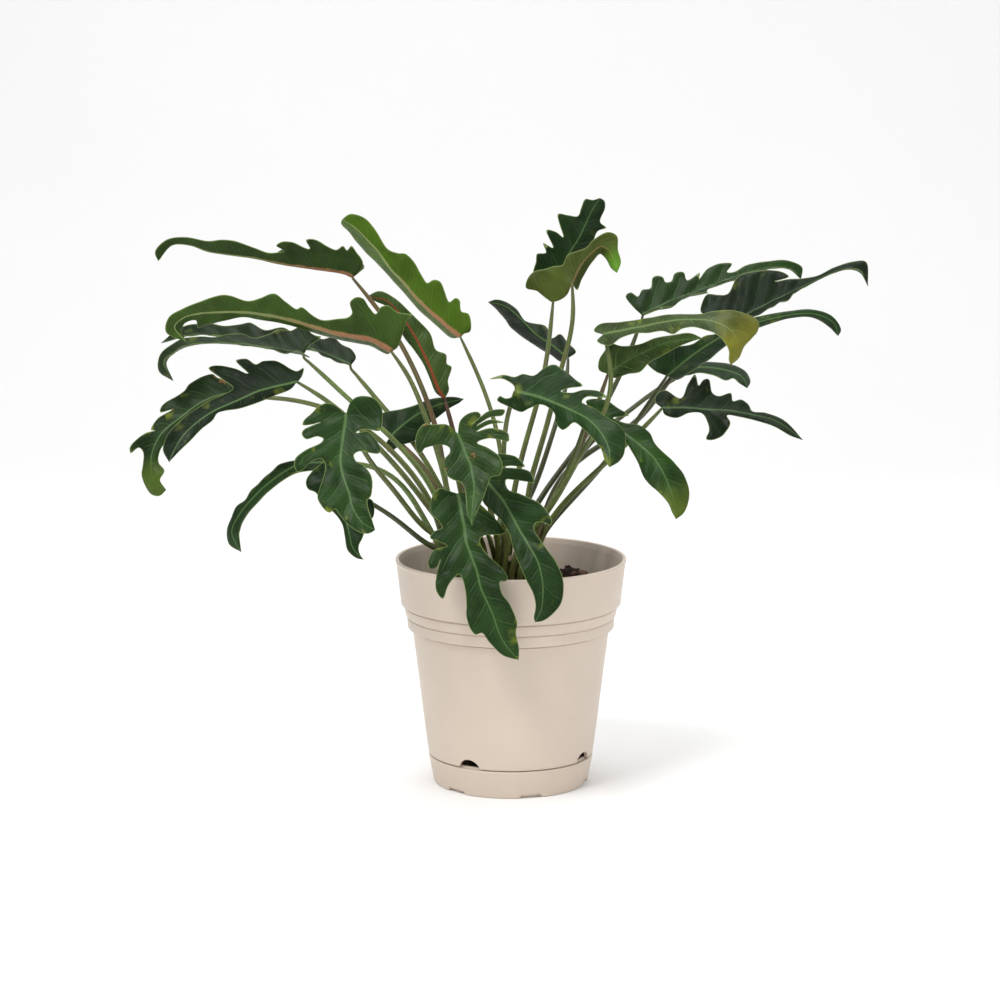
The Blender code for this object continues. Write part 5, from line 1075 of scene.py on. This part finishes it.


# ---- colours of each leaf: upper face, lower face, upper midrib, lower midrib, tip, where it starts --
# Upper-face tones are set leaf by leaf to the brightness each leaf shows, so besides the leaves' own greens they hold
# painted shade on shaded leaves and painted light on lit ones
DEEP, MID, FRONT = (.0042, .0165, .0022), (.0085, .0290, .0028), (.0090, .0275, .0042)
# The first colour on the next line is the leaf green darkened as painted shade, for leaves that sit in deep shade
PAINTED_SHADE_GREEN, SAGE = (.0022, .0080, .0011), (.0230, .0400, .0105)
# The lower-face greens, the first colour here and those in the table, are the undersides' own paler green brightened as
# painted light shining through the blade
UNDER_WITH_PAINTED_LIGHT, PINK, RED, PALE = (.034, .070, .008), (.36, .17, .085), (.22, .040, .020), (.075, .135, .045)
LOOKS = {
    "a": (FRONT, UNDER_WITH_PAINTED_LIGHT, PALE, PALE, None, 1, .95), "b": ((.0160, .0390, .0080), UNDER_WITH_PAINTED_LIGHT, PALE, PALE, None, 1, .7),
    "c": (FRONT, UNDER_WITH_PAINTED_LIGHT, PALE, PALE, None, 1, .6), "d": ((.0060, .0205, .0030), UNDER_WITH_PAINTED_LIGHT, PALE, PALE, None, 1, .5),
    "e": ((.0062, .0225, .0028), UNDER_WITH_PAINTED_LIGHT, PALE, PALE, None, 1, .6), "f": (MID, UNDER_WITH_PAINTED_LIGHT, PALE, PALE, (.070, .105, .010), .80, .6),
    "g": (MID, (.042, .060, .0075), PALE, (.14, .11, .04), (.10, .25, .020), .78, .4), "h": (DEEP, UNDER_WITH_PAINTED_LIGHT, PALE, PALE, None, 1, .2),
    "i": (PAINTED_SHADE_GREEN, UNDER_WITH_PAINTED_LIGHT, PALE, PALE, None, 1, .2), "j": ((.0060, .0215, .0016), UNDER_WITH_PAINTED_LIGHT, PALE, PALE, None, 1, .3),
    "k": (PAINTED_SHADE_GREEN, UNDER_WITH_PAINTED_LIGHT, (.05, .09, .03), PALE, None, 1, .3), "m": (SAGE, UNDER_WITH_PAINTED_LIGHT, (.12, .17, .06), PALE, (.17, .165, .014), .74, .5),
    # leaf n's upper-face green is made lighter as painted light, to offset the shadow the scene casts on it
    "n": ((.026, .050, .010), UNDER_WITH_PAINTED_LIGHT, PALE, PALE, None, 1, .4), "o": (DEEP, UNDER_WITH_PAINTED_LIGHT, PALE, PALE, None, 1, .3),
    "p": (PAINTED_SHADE_GREEN, UNDER_WITH_PAINTED_LIGHT, (.05, .09, .03), PALE, None, 1, .4), "q": (DEEP, UNDER_WITH_PAINTED_LIGHT, PALE, PALE, None, 1, .3),
    "r": (DEEP, (.021, .044, .006), PALE, PINK, None, 1, .4), "s": (MID, (.046, .094, .0045), PALE, PINK, None, 1, .4),
    "t": (MID, (.032, .066, .0085), PALE, PINK, None, 1, .4), "u": ((.0050, .0130, .0022), UNDER_WITH_PAINTED_LIGHT, PALE, PALE, None, 1, .3),
    "v": ((.0040, .0110, .0020), UNDER_WITH_PAINTED_LIGHT, PALE, PALE, None, 1, .3), "w": (PAINTED_SHADE_GREEN, UNDER_WITH_PAINTED_LIGHT, PALE, PALE, None, 1, .4),
    "x": ((.0060, .0180, .0024), UNDER_WITH_PAINTED_LIGHT, PALE, PALE, (.060, .100, .010), .80, .7), "y": ((.0044, .0180, .0014), UNDER_WITH_PAINTED_LIGHT, PALE, PALE, None, 1, .4),
    "z": (DEEP, UNDER_WITH_PAINTED_LIGHT, PALE, PALE, None, 1, .4), "n2": (DEEP, UNDER_WITH_PAINTED_LIGHT, PALE, PALE, None, 1, .4),
    "t2": ((.0190, .0400, .0065), UNDER_WITH_PAINTED_LIGHT, RED, RED, None, 1, .2),
}
FAT = {"r": 1.9, "s": 1.9, "t": 2.3, "t2": 1.5, "a": 1.5, "b": 1.4, "c": 1.6, "d": 1.5, "e": 1.4, "f": 1.2}
STALK_TONES = {"green": ((.115, .150, .032), (.052, .078, .014), (.11, .062, .022), .25),
               "dark": ((.060, .080, .020), (.026, .038, .010), (.062, .034, .012), .4),
               "brown": ((.110, .095, .028), (.060, .052, .016), (.13, .062, .024), .5),
               "red": ((.07, .028, .012), (.035, .018, .008), (.09, .028, .012), .5),
               "light": ((.140, .200, .050), (.085, .130, .030), (.12, .09, .03), .2)}
STALK_LOOK = {"n": "brown", "o": "dark", "q": "dark", "k": "dark", "t2": "red", "u": "light", "z": "dark", "i": "dark", "j": "dark",
              "n2": "brown", "r": "brown", "y": "light"}

make_pot()
make_soil()
make_stems()
tones = {k: stalk_material("stalk_" + k, *v) for k, v in STALK_TONES.items()}
paths = stalk_paths()
for number, (name, leaf) in enumerate(LEAVES.items()):
    top, under, rib, under_rib, tip, tip_from, yellow = LOOKS[name]
    mat = leaf_material("blade_" + name, top, under, rib, tuple(c * 3.0 + .009 for c in top), under_rib, tip, tip_from, yellow, brown=.8 if name in ("x", "b") else 0, seed=number * 1.7,
                        fat=FAT.get(name, 1.0))
    blade(name, leaf, mat, number)
    stalk(name, leaf, paths[name], tones[STALK_LOOK.get(name, "green")])

# ---- floor, light, camera -------------------------------------------------------------------------
def make_stage():
    V, F = [], []
    prof = [(-6, 0), (1.6, 0)] + [(1.6 + 1.2 * math.sin(a), 1.2 - 1.2 * math.cos(a)) for a in np.linspace(.1, math.pi / 2, 16)] + [(2.8, 6)]
    for y, z in prof:
        V += [(-7, y, z), (7, y, z)]
    F = [[2 * i, 2 * i + 1, 2 * i + 3, 2 * i + 2] for i in range(len(prof) - 1)]
    n = Net("floor_paint")
    g = n.noise(1.5, 2)
    m = n.out(n.mix(g, (.86, .86, .86), (.90, .90, .90)), n.m("ADD", n.m("MULTIPLY", g, .1), .75), Specular_IOR_Level=.1)
    ob = mesh_object("floor", V, F, m)


def light(name, loc, aim, size, power, colour=(1, 1, 1)):
    d = bpy.data.lights.new(name, "AREA")
    d.shape, d.size, d.energy, d.color = "DISK", size, power, colour
    ob = bpy.data.objects.new(name, d)
    ob.location = loc
    ob.rotation_euler = (Vector(aim) - Vector(loc)).to_track_quat("-Z", "Y").to_euler()
    bpy.context.scene.collection.objects.link(ob)


make_stage()
light("key", (-.9, -1.2, 2.1), (0, 0, .25), .8, 36)
light("fill", (1.9, -1.6, 1.1), (0, 0, .3), 1.4, 9)
light("top", (.2, .5, 2.4), (0, 0, .3), 1.4, 22)
world = bpy.data.worlds.new("studio")
world.use_nodes = True
world.node_tree.nodes["Background"].inputs[0].default_value = (1, 1, 1, 1)
world.node_tree.nodes["Background"].inputs[1].default_value = .72
bpy.context.scene.world = world
cam = bpy.data.cameras.new("camera")
cam.lens, cam.sensor_width, cam.clip_end = FOCAL * 36 / 1000, 36, 60
cob = bpy.data.objects.new("camera", cam)
cob.location = EYE
cob.rotation_euler = (math.pi / 2 - PITCH, 0, 0)
bpy.context.scene.collection.objects.link(cob)
bpy.context.scene.camera = cob
bpy.context.scene.view_settings.view_transform = "Standard"
bpy.context.scene.view_settings.look = "None"
